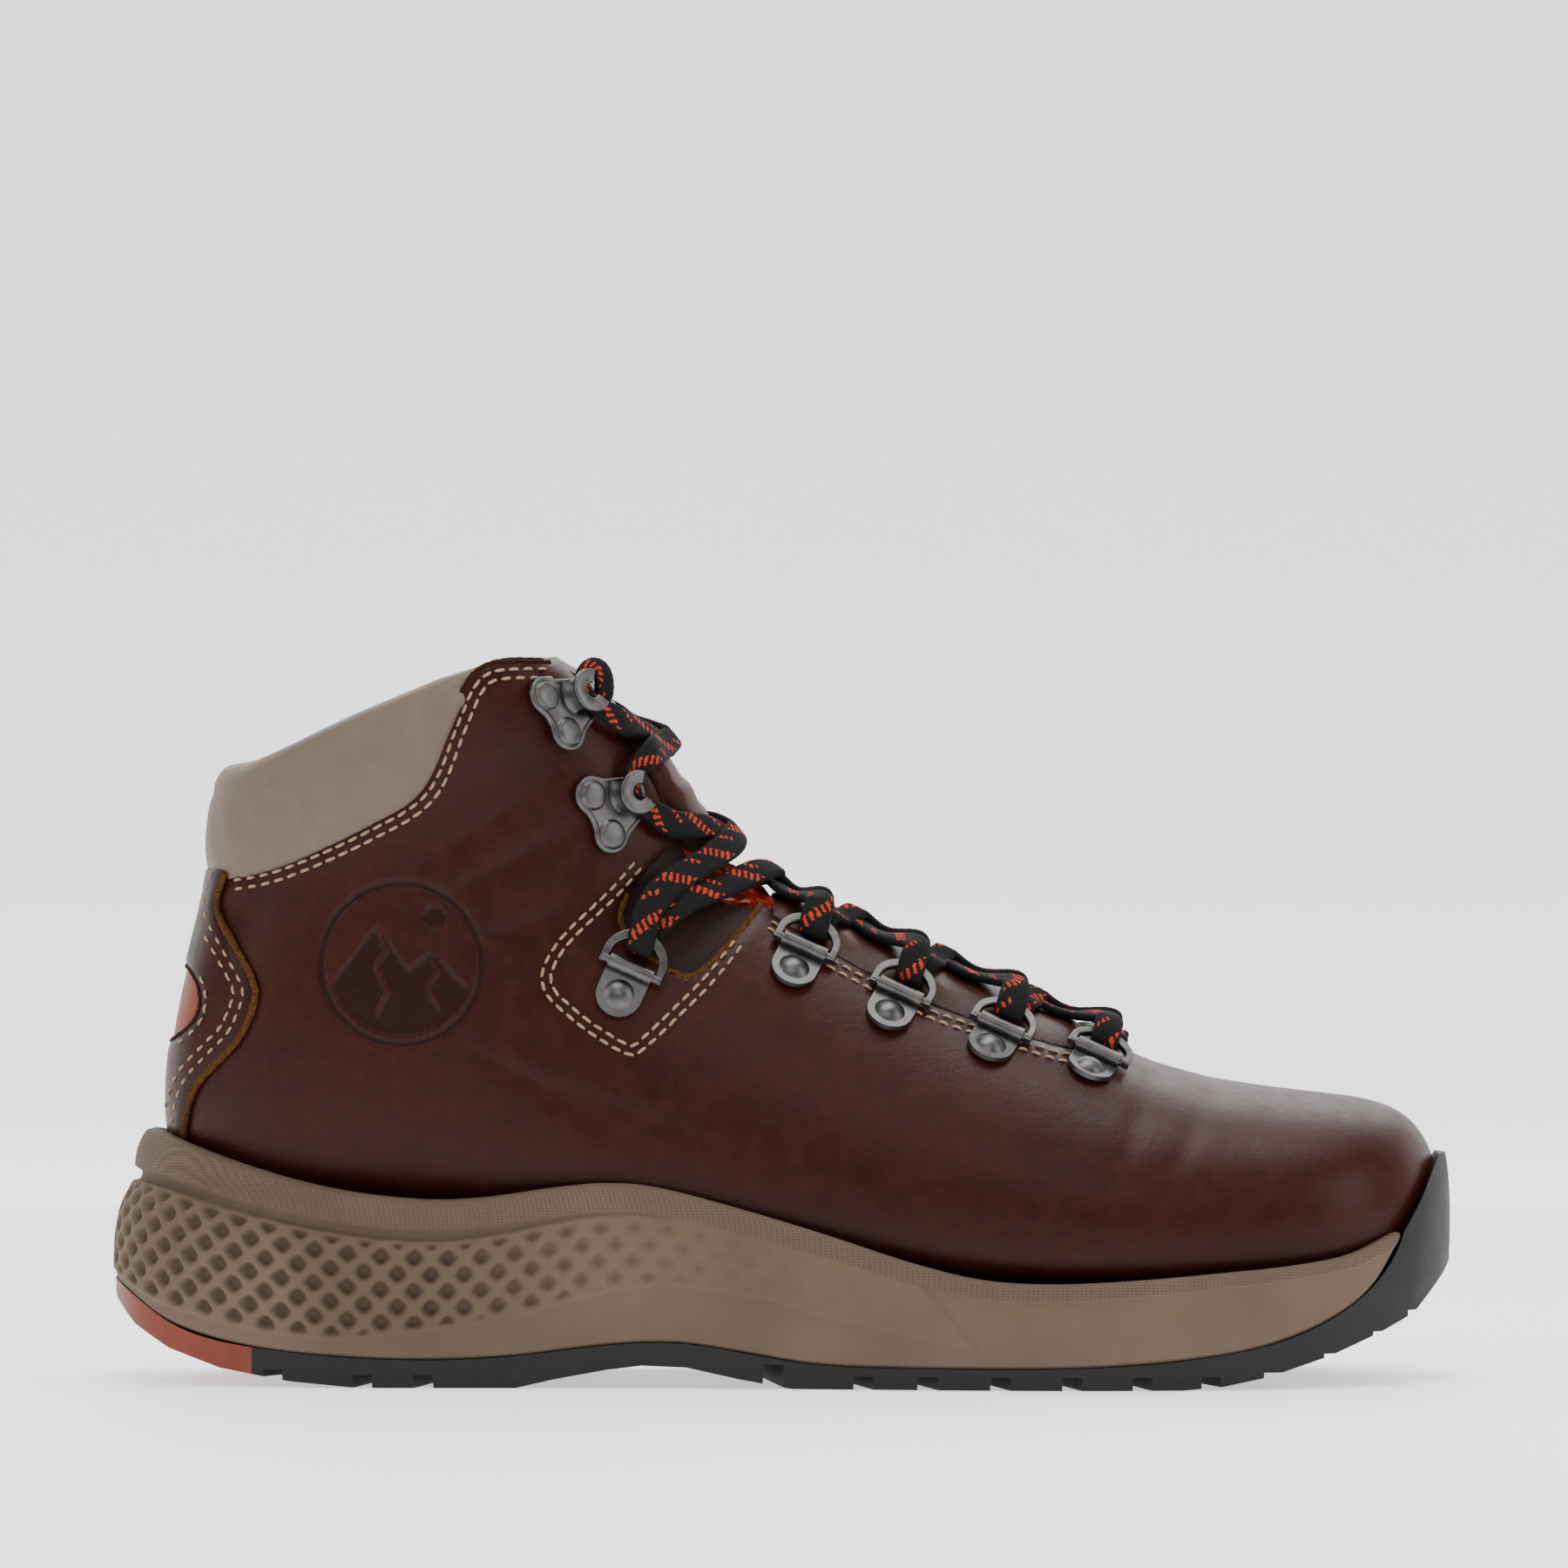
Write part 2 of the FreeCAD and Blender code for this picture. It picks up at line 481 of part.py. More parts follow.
def make_tongue():
    """The tongue's upper part, and the padded piece over the instep below it."""
    under_zone = front_wedge(8.0).common(polygon_prism([*TONGUE_TOP, *TONGUE_FOOT]))
    open_zone = polygon_prism([(-44.0, 175.0), (-35.0, 153.2), (-26.4, 132.2), (-24.0, 123.0),
                               (-27.5, 112.0), (30.0, 112.0), (30.0, 175.0)])
    open_zone = open_zone.fuse(front_wedge(-0.4)).common(polygon_prism([*TONGUE_TOP, *TONGUE_FOOT]))
    tongue = last_solid(TONGUE[0]).common(under_zone)
    tongue = tongue.fuse(last_solid(TONGUE_CROWN).common(open_zone)).cut(last_solid(TONGUE[1]))
    instep_zone = polygon_prism([(-1.8, 107.6), (-2.8, 118.0), (20.0, 130.0), (81.0, 82.0),
                                 (77.0, 76.6), (66.3, 77.0), (55.9, 79.8), (42.5, 84.2),
                                 (32.3, 88.0), (12.3, 98.2)])
    instep = last_solid(0).cut(last_solid(INSTEP_DEPTH)).common(instep_zone)
    return {"tongue": solids_only(tongue), "instep_pad": instep}


# ---------------------------------------------------------------- clips, rings and hooks
def cylinder(radius, bottom, top, x=0.0, y=0.0):
    return Part.makeCylinder(radius, top - bottom, V(x, y, bottom))


def rivet(x, y, radius):
    """A domed cap on a shank that passes through the leather to its washer."""
    ball_radius = (radius ** 2 + CAP_RISE ** 2) / (2 * CAP_RISE)
    ball = Part.makeSphere(ball_radius, V(x, y, PLATE[1] + CAP_RISE - ball_radius))
    cap = ball.common(cylinder(radius, PLATE[1], PLATE[1] + CAP_RISE + 1, x, y))
    return cap.fuse(cylinder(SHANK_RADIUS, -RIVET_BACK[2], PLATE[1], x, y)).removeSplitter()


def rivet_back(x, y):
    radius, near, far = RIVET_BACK
    return cylinder(radius, -far, -near, x, y).cut(cylinder(SHANK_RADIUS, -far, -near, x, y))


def hull_plate(circles):
    """A flat plate round several circles in a row, each joined to the next by its tangents."""
    bottom, top = PLATE
    plate = None
    for (x0, y0, r0), (x1, y1, r1) in zip(circles, circles[1:]):
        run = math.hypot(x1 - x0, y1 - y0)
        heading = math.atan2(y1 - y0, x1 - x0)
        lean = math.acos((r0 - r1) / run)
        corners = []
        for x, y, r, turns in ((x0, y0, r0, (1, -1)), (x1, y1, r1, (-1, 1))):
            for turn in turns:
                corners.append(V(x + r * math.cos(heading + turn * lean),
                                 y + r * math.sin(heading + turn * lean), bottom))
        web = Part.Face(Part.makePolygon([*corners, corners[0]])).extrude(V(0, 0, top - bottom))
        web = web.fuse(cylinder(r0, bottom, top, x0, y0)).fuse(cylinder(r1, bottom, top, x1, y1))
        plate = web if plate is None else plate.fuse(web)
    return plate.removeSplitter()


def clip_plate():
    """The plate that folds round the D-ring's bar and is riveted down below it."""
    half = BARREL_LENGTH / 2
    plate = hull_plate([(-half + 1.2, -1.0, 1.2), (0, -RIVET_PITCH, CLIP_RADIUS),
                        (half - 1.2, -1.0, 1.2)])
    bridge = Part.makeBox(BARREL_LENGTH, 3.0, PLATE[1] - PLATE[0], V(-half, -2.2, PLATE[0]))
    barrel = Part.makeCylinder(BARREL_RADIUS, BARREL_LENGTH, V(-half, 0, BARREL_HEIGHT), V(1, 0, 0))
    bore = Part.makeCylinder(BORE_RADIUS, BARREL_LENGTH, V(-half, 0, BARREL_HEIGHT), V(1, 0, 0))
    body = plate.fuse(bridge).fuse(barrel).cut(bore)
    return body.cut(cylinder(SHANK_RADIUS, -3, 3, 0, -RIVET_PITCH)).removeSplitter()


def bow_face(half_width, rise, bottom):
    """The face of a D: straight legs and half an ellipse on top of them."""
    ellipse = Part.Ellipse(V(0, RING_LEG, 0), half_width, rise)
    arch = Part.ArcOfEllipse(ellipse, 0, math.pi).toShape()
    left, right = V(-half_width, RING_LEG, 0), V(half_width, RING_LEG, 0)
    corners = [left, V(-half_width, bottom, 0), V(half_width, bottom, 0), right]
    lines = [Part.LineSegment(a, b).toShape() for a, b in zip(corners, corners[1:])]
    return Part.Face(Part.Wire(Part.__sortEdges__([arch, *lines])))


def d_ring():
    bow = bow_face(*RING_BOW, -BAR_RADIUS).extrude(V(0, 0, RING_THICK))
    bow = bow.cut(bow_face(*RING_HOLE, -5).extrude(V(0, 0, RING_THICK)))
    bow.translate(V(0, 0, -RING_THICK / 2))
    bow = bow.makeFillet(0.35, [edge for edge in bow.Edges if edge.Length > 8.5])
    reach = RING_BOW[0] - 0.5
    bar = Part.makeCylinder(BAR_RADIUS, 2 * reach, V(-reach, 0, 0), V(1, 0, 0))
    ring = bow.fuse(bar).removeSplitter()
    ring.rotate(V(0, 0, 0), V(1, 0, 0), RING_TILT)
    ring.translate(V(0, 0, BARREL_HEIGHT))
    return ring


def hook_shapes(first, second, washer):
    """Plate, rivets and rivet backs of a hook whose places are given in the plate's own plane."""
    mouth = math.atan2(washer[1] - (first[1] + second[1]) / 2, washer[0] - (first[0] + second[0]) / 2)
    foot = (washer[0] - 1.5 * math.cos(mouth), washer[1] - 1.5 * math.sin(mouth), HOOK_FOOT_RADIUS)
    lobes = [(*first, HOOK_PLATE_RADIUS), (*second, HOOK_PLATE_RADIUS)]
    plate = hull_plate([lobes[0], foot, lobes[1]]).fuse(hull_plate(lobes))
    outer, inner = HOOK_WASHER
    low, high = HOOK_LEVELS
    disc = cylinder(outer, low, high, *washer).cut(cylinder(inner, low, high, *washer))
    gap = Part.makeBox(10, HOOK_MOUTH, 10, V(0, -HOOK_MOUTH / 2, 0))
    gap.rotate(V(0, 0, 0), V(0, 0, 1), math.degrees(mouth) + HOOK_MOUTH_TURN)
    gap.translate(V(*washer, 0))
    disc = disc.cut(gap)
    thick, wide = HOOK_NECK
    neck = cylinder(outer, PLATE[0], high, *washer)
    neck = neck.cut(cylinder(outer - thick, PLATE[0], high, *washer))
    slab = Part.makeBox(10, wide, 10, V(-10, -wide / 2, -1))
    slab.rotate(V(0, 0, 0), V(0, 0, 1), math.degrees(mouth))
    slab.translate(V(*washer, 0))
    hook = plate.fuse(disc).fuse(neck.common(slab))
    holes = [cylinder(SHANK_RADIUS, -3, 3, *place) for place in (first, second)]
    hook = hook.cut(Part.makeCompound(holes)).removeSplitter()
    rivets = [rivet(*place, HOOK_CAP_RADIUS) for place in (first, second)]
    return hook, rivets, [rivet_back(*place) for place in (first, second)]


def put(shape, placement):
    moved = shape.copy()
    moved.Placement = placement.multiply(moved.Placement)
    return moved


def clip_frame(index, side):
    (x, z), _ = CLIPS[index]
    return surface_frame(x, z, side, BARREL_SLOPE)


def hook_frame(name, side):
    """A placement between the plate's rivets and its washer."""
    first, second, washer = HOOKS[name]
    x = 0.3 * (first[0] + second[0]) + 0.4 * washer[0]
    z = 0.3 * (first[1] + second[1]) + 0.4 * washer[1]
    return surface_frame(x, z, side, (1.0, 0.0))


def in_plane(placement, x, z, side):
    """A side-view place as x and y in the plane of a placement."""
    local = placement.inverse().multVec(V(x, surface_y(x, z, side), z))
    return local.x, local.y


def make_fittings():
    nodes = {}
    for name, side in SIDES:
        frames = [clip_frame(i, side) for i in range(len(CLIPS))]
        rivets = [put(rivet(0, -RIVET_PITCH, CAP_RADIUS), frame) for frame in frames]
        backs = [put(rivet_back(0, -RIVET_PITCH), frame) for frame in frames]
        nodes["lace_clips_" + name] = Part.makeCompound([put(clip_plate(), f) for f in frames])
        for i, frame in enumerate(frames):
            nodes["d_ring_%s_%d" % (name, i + 1)] = put(d_ring(), frame)
        hook_rivets = []
        for level in HOOKS:
            frame = hook_frame(level, side)
            places = [in_plane(frame, *place, side) for place in HOOKS[level]]
            hook, pins, washers = hook_shapes(*places)
            nodes["lace_hook_%s_%s" % (name, level)] = put(hook, frame)
            hook_rivets += [put(pin, frame) for pin in pins]
            backs += [put(washer, frame) for washer in washers]
        nodes["clip_rivets_" + name] = Part.makeCompound(rivets)
        nodes["hook_rivets_" + name] = Part.makeCompound(hook_rivets)
        nodes["rivet_backs_" + name] = Part.makeCompound(backs)
    return nodes


# ---------------------------------------------------------------- the lace
def strand(start, end, start_height, end_height, rise):
    """A flat ribbon over the ridge, from an outer point to an inner one."""
    first, last = find_section(start[0], start[1]), find_section(end[0], end[1])
    angle = math.degrees(math.acos(2 * first[1] - 1))
    angle_end = math.degrees(math.acos(2 * last[1] - 1))
    places = []
    for i in range(STRAND_STEPS + 1):
        share = i / STRAND_STEPS
        around = -angle + (angle + angle_end) * share
        place = first[0] + (last[0] - first[0]) * share
        bump = math.sin(math.pi * share) ** 2
        height = (start_height + (end_height - start_height) * share) * (1 - bump) + rise * bump
        normal = surface_normal(place, around)
        places.append((surface_point(place, around) + normal * height, normal))
    sections = []
    for i, (middle, normal) in enumerate(places):
        before, after = places[max(i - 1, 0)][0], places[min(i + 1, STRAND_STEPS)][0]
        across = (after - before).normalize().cross(normal).normalize()
        wide, thick = across * (LACE_WIDTH / 2), normal * (LACE_THICK / 2)
        corners = [middle + wide + thick, middle - wide + thick, middle - wide - thick,
                   middle + wide - thick]
        sections.append(Part.makePolygon([*corners, corners[0]]))
    return Part.makeLoft(sections, True, True)


def ring_target(index, side):
    """The middle of a ring's opening, as x and z."""
    point = clip_frame(index, side).multVec(V(0, 4.4, 0))
    return point.x, point.z


def ring_loop(index, side):
    """The turn of the lace through a ring, round its bow."""
    loop = Part.makeBox(LACE_WIDTH, 4.0, LACE_OVER + 0.6, V(-LACE_WIDTH / 2, 2.0, 0.1))
    return put(loop, clip_frame(index, side))


def make_lace():
    """The flat lace: a bar between the front rings, crossings up the rings and on to the hooks."""
    count = len(CLIPS)
    bar, low, high_under, over, high_over = LACE_RISES
    pieces = [strand(ring_target(count - 1, OUTER), ring_target(count - 1, INNER),
                     LACE_UNDER, LACE_UNDER, bar)]
    for i in range(count - 1, 0, -1):
        pieces.append(strand(ring_target(i, OUTER), ring_target(i - 1, INNER),
                             LACE_OVER, LACE_UNDER, over))
        pieces.append(strand(ring_target(i - 1, OUTER), ring_target(i, INNER),
                             LACE_UNDER, LACE_OVER, low))
    lower, upper = HOOKS["lower"][2], HOOKS["upper"][2]
    in_hook = (PLATE[1] + HOOK_LEVELS[0]) / 2
    pieces.append(strand(ring_target(0, OUTER), lower, LACE_OVER, in_hook, high_under))
    pieces.append(strand(lower, ring_target(0, INNER), in_hook, LACE_OVER, high_over))
    pieces.append(strand(lower, upper, in_hook, in_hook, high_under))
    pieces.append(strand(upper, lower, in_hook, in_hook, high_over))
    for i in range(count):
        for _, side in SIDES:
            pieces.append(ring_loop(i, side))
    return pieces[0].multiFuse(pieces[1:])


# ---------------------------------------------------------------- the boot
def ring_room(frame):
    """A D-ring's outline with a little room round it."""
    room = RING_CLEARANCE
    grown = bow_face(RING_BOW[0] + room, RING_BOW[1] + room, -BAR_RADIUS - room)
    grown = grown.extrude(V(0, 0, RING_THICK + 2 * room))
    hole = bow_face(RING_HOLE[0] - room, RING_HOLE[1] - room, BAR_RADIUS + room)
    grown = grown.cut(hole.extrude(V(0, 0, RING_THICK + 2 * room)))
    grown.translate(V(0, 0, -RING_THICK / 2 - room))
    grown.rotate(V(0, 0, 0), V(1, 0, 0), RING_TILT)
    grown.translate(V(0, 0, BARREL_HEIGHT))
    return put(grown, frame)


def make_boot():
    nodes = make_upper()
    fittings = make_fittings()
    nodes.update(make_sole(last_solid(0)))
    fixed = [shape for name, shape in fittings.items() if not name.startswith("d_ring")]
    for name in ("upper_leather", "flex_patch_outer", "flex_patch_inner", "instep_pad", "tongue",
                 "tongue_gusset", "lining"):
        shape = nodes[name].cut(fixed)
        for backs in (fittings["rivet_backs_outer"], fittings["rivet_backs_inner"]):
            for washer in backs.Solids:
                shape = shape.cut(washer)
        nodes[name] = solids_only(shape)
    room = [ring_room(clip_frame(i, side)) for i in range(len(CLIPS)) for _, side in SIDES]
    covers = [last_solid(0.02), *fixed, *room]
    nodes["lace"] = make_lace().cut(covers)
    nodes.update(fittings)
    return nodes


if __name__ == "__main__":
    os.makedirs("parts", exist_ok=True)
    for node, shape in make_boot().items():
        shape.exportStep("parts/%s.step" % node)
        print(node, len(shape.Solids), round(shape.Volume), shape.isValid())
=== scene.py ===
"""Looks of the hiking boot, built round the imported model. Lengths are in millimetres until a mesh
is made. The upper's surface is the same fan of sections as in the model."""
import json
import math

import bpy
import numpy as np
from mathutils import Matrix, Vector
from mathutils.bvhtree import BVHTree

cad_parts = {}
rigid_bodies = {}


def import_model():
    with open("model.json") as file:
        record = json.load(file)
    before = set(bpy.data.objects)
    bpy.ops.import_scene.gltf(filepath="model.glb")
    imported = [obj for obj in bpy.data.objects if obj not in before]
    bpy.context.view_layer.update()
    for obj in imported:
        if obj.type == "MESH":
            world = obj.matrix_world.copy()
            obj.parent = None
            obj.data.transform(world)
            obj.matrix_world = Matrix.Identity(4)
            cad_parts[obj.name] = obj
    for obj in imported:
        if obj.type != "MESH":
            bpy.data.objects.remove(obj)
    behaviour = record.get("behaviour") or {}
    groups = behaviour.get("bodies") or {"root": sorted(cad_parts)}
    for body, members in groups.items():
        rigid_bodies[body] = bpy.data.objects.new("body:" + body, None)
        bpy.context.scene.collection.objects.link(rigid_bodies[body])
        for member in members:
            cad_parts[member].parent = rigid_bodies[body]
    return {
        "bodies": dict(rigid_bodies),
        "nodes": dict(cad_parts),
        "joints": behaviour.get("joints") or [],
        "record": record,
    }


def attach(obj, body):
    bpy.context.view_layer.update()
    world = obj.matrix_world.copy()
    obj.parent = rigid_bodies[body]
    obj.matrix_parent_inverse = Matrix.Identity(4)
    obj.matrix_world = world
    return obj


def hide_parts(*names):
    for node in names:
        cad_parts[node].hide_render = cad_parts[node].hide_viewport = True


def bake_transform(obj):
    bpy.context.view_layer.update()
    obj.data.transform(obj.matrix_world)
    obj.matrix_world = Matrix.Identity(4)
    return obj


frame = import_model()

MM = 0.001
OUTER, INNER = -1, 1
SIDES = (("outer", OUTER), ("inner", INNER))
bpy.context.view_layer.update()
rng = np.random.default_rng(7)

# ---------------------------------------------------------------- the last
# rear end x z, ridge x z, half widths outwards and inwards, middle, widest, low and high power
LAST = np.array([
    (150.2, 40.0, 150.2, 44.0, 2.5, 2.5, 7.5, 0.50, 2.0, 2.0),
    (149.2, 35.0, 149.5, 49.6, 10.5, 11.0, 7.5, 0.47, 2.3, 2.0),
    (146.8, 30.5, 147.2, 55.2, 18.5, 19.5, 7.4, 0.44, 2.7, 2.0),
    (142.5, 27.0, 143.0, 60.0, 27.0, 28.0, 7.2, 0.40, 3.1, 2.0),
    (135.0, 24.3, 135.7, 63.4, 35.2, 35.0, 6.8, 0.37, 3.4, 2.0),
    (124.0, 21.8, 125.9, 65.1, 42.0, 40.2, 6.2, 0.34, 3.7, 2.0),
    (108.0, 19.8, 111.7, 66.8, 47.2, 43.8, 5.4, 0.32, 3.8, 1.98),
    (88.0, 18.8, 95.7, 69.6, 50.6, 46.4, 4.4, 0.31, 3.8, 1.95),
    (66.0, 18.8, 79.7, 74.8, 51.8, 47.2, 3.4, 0.30, 3.8, 1.92),
    (42.0, 19.6, 58.7, 84.4, 50.0, 46.0, 2.6, 0.30, 3.7, 1.88),
    (18.0, 21.6, 37.7, 93.8, 46.3, 43.0, 2.0, 0.30, 3.5, 1.86),
    (-8.0, 24.3, 15.7, 103.6, 42.3, 39.5, 1.6, 0.31, 3.3, 1.86),
    (-36.0, 27.4, -1.7, 111.6, 39.2, 37.0, 1.2, 0.34, 3.2, 1.88),
    (-66.0, 29.8, -9.6, 117.0, 37.4, 36.2, 1.0, 0.38, 3.1, 1.92),
    (-98.0, 31.3, -15.2, 122.2, 36.6, 36.0, 0.8, 0.42, 2.9, 1.95),
    (-124.0, 35.6, -19.2, 128.2, 36.4, 36.0, 0.6, 0.44, 2.6, 2.0),
    (-137.4, 48.0, -23.0, 134.4, 36.0, 35.8, 0.5, 0.45, 2.3, 2.2),
    (-140.7, 64.0, -27.2, 140.2, 35.4, 35.4, 0.5, 0.45, 2.2, 2.5),
    (-138.9, 82.0, -31.8, 146.0, 34.8, 34.8, 0.5, 0.45, 2.2, 2.9),
    (-135.0, 99.5, -37.2, 152.0, 35.0, 35.0, 0.5, 0.45, 2.2, 3.2),
    (-131.4, 116.5, -43.0, 158.4, 36.4, 36.4, 0.5, 0.46, 2.2, 3.4),
    (-131.0, 132.5, -49.4, 165.4, 37.6, 37.6, 0.5, 0.47, 2.2, 3.4),
    (-130.6, 150.0, -56.0, 173.6, 38.2, 38.2, 0.5, 0.48, 2.2, 3.4),
])


def knots(table):
    """Distances along the table, averaged between its rear and ridge ends."""
    rear = np.hypot(*np.diff(table[:, 0:2], axis=0).T)
    ridge = np.hypot(*np.diff(table[:, 2:4], axis=0).T)
    return np.concatenate([[0.0], np.cumsum((rear + ridge) / 2)])


def natural_spline(at, values, wanted):
    """A natural cubic spline through rows of values."""
    n, h = len(at), np.diff(at)
    system = np.eye(n)
    right = np.zeros_like(values, dtype=float)
    slope = np.diff(values, axis=0) / h[:, None]
    for i in range(1, n - 1):
        system[i, i - 1:i + 2] = h[i - 1] / 6, (h[i - 1] + h[i]) / 3, h[i] / 6
        right[i] = slope[i] - slope[i - 1]
    bend = np.linalg.solve(system, right)
    i = np.clip(np.searchsorted(at, wanted, side="right") - 1, 0, n - 2)
    step = h[i][:, None]
    b = (wanted[:, None] - at[i][:, None]) / step
    a = 1 - b
    curve = ((a ** 3 - a) * bend[i] + (b ** 3 - b) * bend[i + 1]) * step ** 2 / 6
    return a * values[i] + b * values[i + 1] + curve


LAST_AT = knots(LAST)
LAST_END = LAST_AT[-1]


def last_points(along, around):
    """Points of the last at distances along it and angles about the ridge, in degrees."""
    rows = natural_spline(LAST_AT, LAST, np.ravel(along))
    angle = (np.ravel(around) + 180.0) % 360.0 - 180.0
    t = (1 + np.cos(np.radians(angle))) / 2
    middle, widest, low, high = rows[:, 6], rows[:, 7], rows[:, 8], rows[:, 9]
    below = np.clip((widest - t) / widest, 0, 1)
    above = np.clip((t - widest) / (1 - widest), 0, 1)
    width = np.where(t < widest, (1 - below ** low) ** (1 / low), (1 - above ** high) ** (1 / high))
    half = np.where(angle < 0, rows[:, 4], rows[:, 5])
    y = middle + np.sign(angle) * np.maximum(half, 0.3) * width
    x = rows[:, 0] + (rows[:, 2] - rows[:, 0]) * t
    z = rows[:, 1] + (rows[:, 3] - rows[:, 1]) * t
    return np.stack([x, y, z], axis=1)


def unit(vectors):
    """Vectors scaled to length one."""
    return vectors / np.maximum(np.linalg.norm(vectors, axis=-1, keepdims=True), 1e-9)


def reach_along(path):
    """Distance travelled at each point of a path."""
    return np.concatenate([[0.0], np.cumsum(np.linalg.norm(np.diff(path, axis=0), axis=1))])


def grid_normals(points):
    """Outward normals of a grid of points, rows along and columns around."""
    return unit(np.cross(np.gradient(points, axis=1), np.gradient(points, axis=0)))


def grid_quads(rows, columns):
    """Quads between the neighbouring points of a grid, row after row."""
    index = np.arange(rows * columns).reshape(rows, columns)
    quads = np.stack([index[:-1, :-1], index[:-1, 1:], index[1:, 1:], index[1:, :-1]], axis=-1)
    return quads.reshape(-1, 4)


def ring_solid(rows, count, flip=False):
    """Faces of a solid swept through closed rings of points, with its two ends last."""
    index = np.arange(rows * count).reshape(rows, count)
    right = np.roll(index, -1, axis=1)
    quads = np.stack([index[:-1], right[:-1], right[1:], index[1:]], axis=-1).reshape(-1, 4)
    faces = [tuple(f) for f in (*quads, index[0][::-1], index[-1])]
    return [(f[0], *f[:0:-1]) for f in faces] if flip else faces


def spaced(stops):
    """Numbers from stop to stop, each span with its own step: (start, step), ..., (end, _)."""
    parts = []
    for (start, step), (end, _) in zip(stops, stops[1:]):
        parts.append(np.linspace(start, end, max(int(round((end - start) / step)), 1), endpoint=False))
    return np.concatenate([*parts, [stops[-1][0]]])


def last_grid(along, around, height=0.0):
    """A grid over the last: points, normals and quads. A height stands out of the surface."""
    u, a = np.meshgrid(along, around, indexing="ij")
    points = last_points(u, a).reshape(*u.shape, 3)
    normals = grid_normals(points)
    return (points + normals * height).reshape(-1, 3), normals.reshape(-1, 3), grid_quads(*u.shape)


# ---------------------------------------------------------------- outlines seen from the side
def smooth_path(points, closed=False):
    """Points about 1 mm apart along a Catmull-Rom curve through a few points."""
    p = np.array(points, float)
    spans = len(p) if closed else len(p) - 1
    p = np.vstack([p[-1], p, p[:2]]) if closed else np.vstack([2 * p[0] - p[1], p, 2 * p[-1] - p[-2]])
    found = []
    for i in range(1, spans + 1):
        a, b, c, d = p[i - 1:i + 3]
        count = max(int(np.linalg.norm(c - b)), 1)
        f = np.linspace(0, 1, count, endpoint=False)[:, None]
        found.append(0.5 * (2 * b + (c - a) * f + (2 * a - 5 * b + 4 * c - d) * f ** 2
                            + (3 * b - a - 3 * c + d) * f ** 3))
    if not closed:
        found.append(p[-2][None])
    return np.vstack(found)


def inside_distance(outline, x, z):
    """Distance from a closed outline, positive inside it."""
    a, b = outline, np.roll(outline, -1, axis=0)
    best = np.full(x.shape, 1e9)
    inside = np.zeros(x.shape, bool)
    for (ax, az), (bx, bz) in zip(a, b):
        ex, ez = bx - ax, bz - az
        share = np.clip(((x - ax) * ex + (z - az) * ez) / max(ex * ex + ez * ez, 1e-12), 0, 1)
        best = np.minimum(best, np.hypot(x - ax - share * ex, z - az - share * ez))
        crosses = (az > z) != (bz > z)
        inside ^= crosses & (x < ax + (z - az) / (bz - az if bz != az else 1e-12) * ex)
    return np.where(inside, best, -best)


def within(outline, p):
    """Distance of points inside an outline seen from the side."""
    return inside_distance(outline, p[:, 0], p[:, 2])


def height_of(line, x):
    """Height of a line seen from the side, at each x."""
    return np.interp(x, line[:, 0], line[:, 1])


def below(line, p):
    """Height of points below a line seen from the side."""
    return height_of(line, p[:, 0]) - p[:, 2]


def smooth_step(value, low, high):
    share = np.clip((value - low) / (high - low), 0, 1)
    return share * share * (3 - 2 * share)


def offset_path(path, distance):
    """A path moved to its left by a distance."""
    run = unit(np.gradient(path, axis=0))
    return path + np.stack([-run[:, 1], run[:, 0]], axis=1) * distance


# ---------------------------------------------------------------- meshes
def placed(name, data):
    """A new object in the scene."""
    thing = bpy.data.objects.new(name, data)
    bpy.context.scene.collection.objects.link(thing)
    return thing


def make_piece(name, points, faces, slot, materials, body="boot", layers=None):
    """A mesh object in metres that rides on a body and takes the materials it is given. Its slot is not used.
    """
    mesh = bpy.data.meshes.new(name)
    mesh.from_pydata((np.asarray(points) * MM).tolist(), [], [list(map(int, f)) for f in faces])
    for layer, values in (layers or {}).items():
        attribute = mesh.attributes.new(layer, "FLOAT", "POINT")
        attribute.data.foreach_set("value", np.asarray(values, np.float32))
    mesh.polygons.foreach_set("use_smooth", [True] * len(mesh.polygons))
    mesh.update()
    piece = placed(name, mesh)
    if body:
        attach(piece, body)
    for material in materials:
        mesh.materials.append(material)
    return piece


def clip(columns, quads, keep):
    """Cuts a mesh where keep turns negative. Columns hold the position and whatever goes along."""
    tris = np.vstack([quads[:, [0, 1, 2]], quads[:, [0, 2, 3]]])
    inside = keep[tris] >= 0
    count = inside.sum(axis=1)
    extra, faces, cuts = [], [tuple(t) for t in tris[count == 3]], {}

    def cut(a, b):
        key = (a, b) if a < b else (b, a)
        if key not in cuts:
            share = np.clip(keep[key[0]] / (keep[key[0]] - keep[key[1]]), 0.0, 1.0)
            extra.append(columns[key[0]] * (1 - share) + columns[key[1]] * share)
            cuts[key] = len(columns) + len(extra) - 1
        return cuts[key]

    crossed = (count == 1) | (count == 2)
    for tri, kept in zip(tris[crossed], inside[crossed]):
        ring = []
        for i in range(3):
            a, b = int(tri[i]), int(tri[(i + 1) % 3])
            if kept[i]:
                ring.append(a)
            if kept[i] != kept[(i + 1) % 3]:
                ring.append(cut(a, b))
        if len(ring) > 2:
            faces.append(tuple(ring))
    everything = np.vstack([columns, *extra])
    used = np.unique(np.concatenate(faces))
    renumber = np.full(len(everything), -1)
    renumber[used] = np.arange(len(used))
    return everything[used], [tuple(renumber[list(f)]) for f in faces]


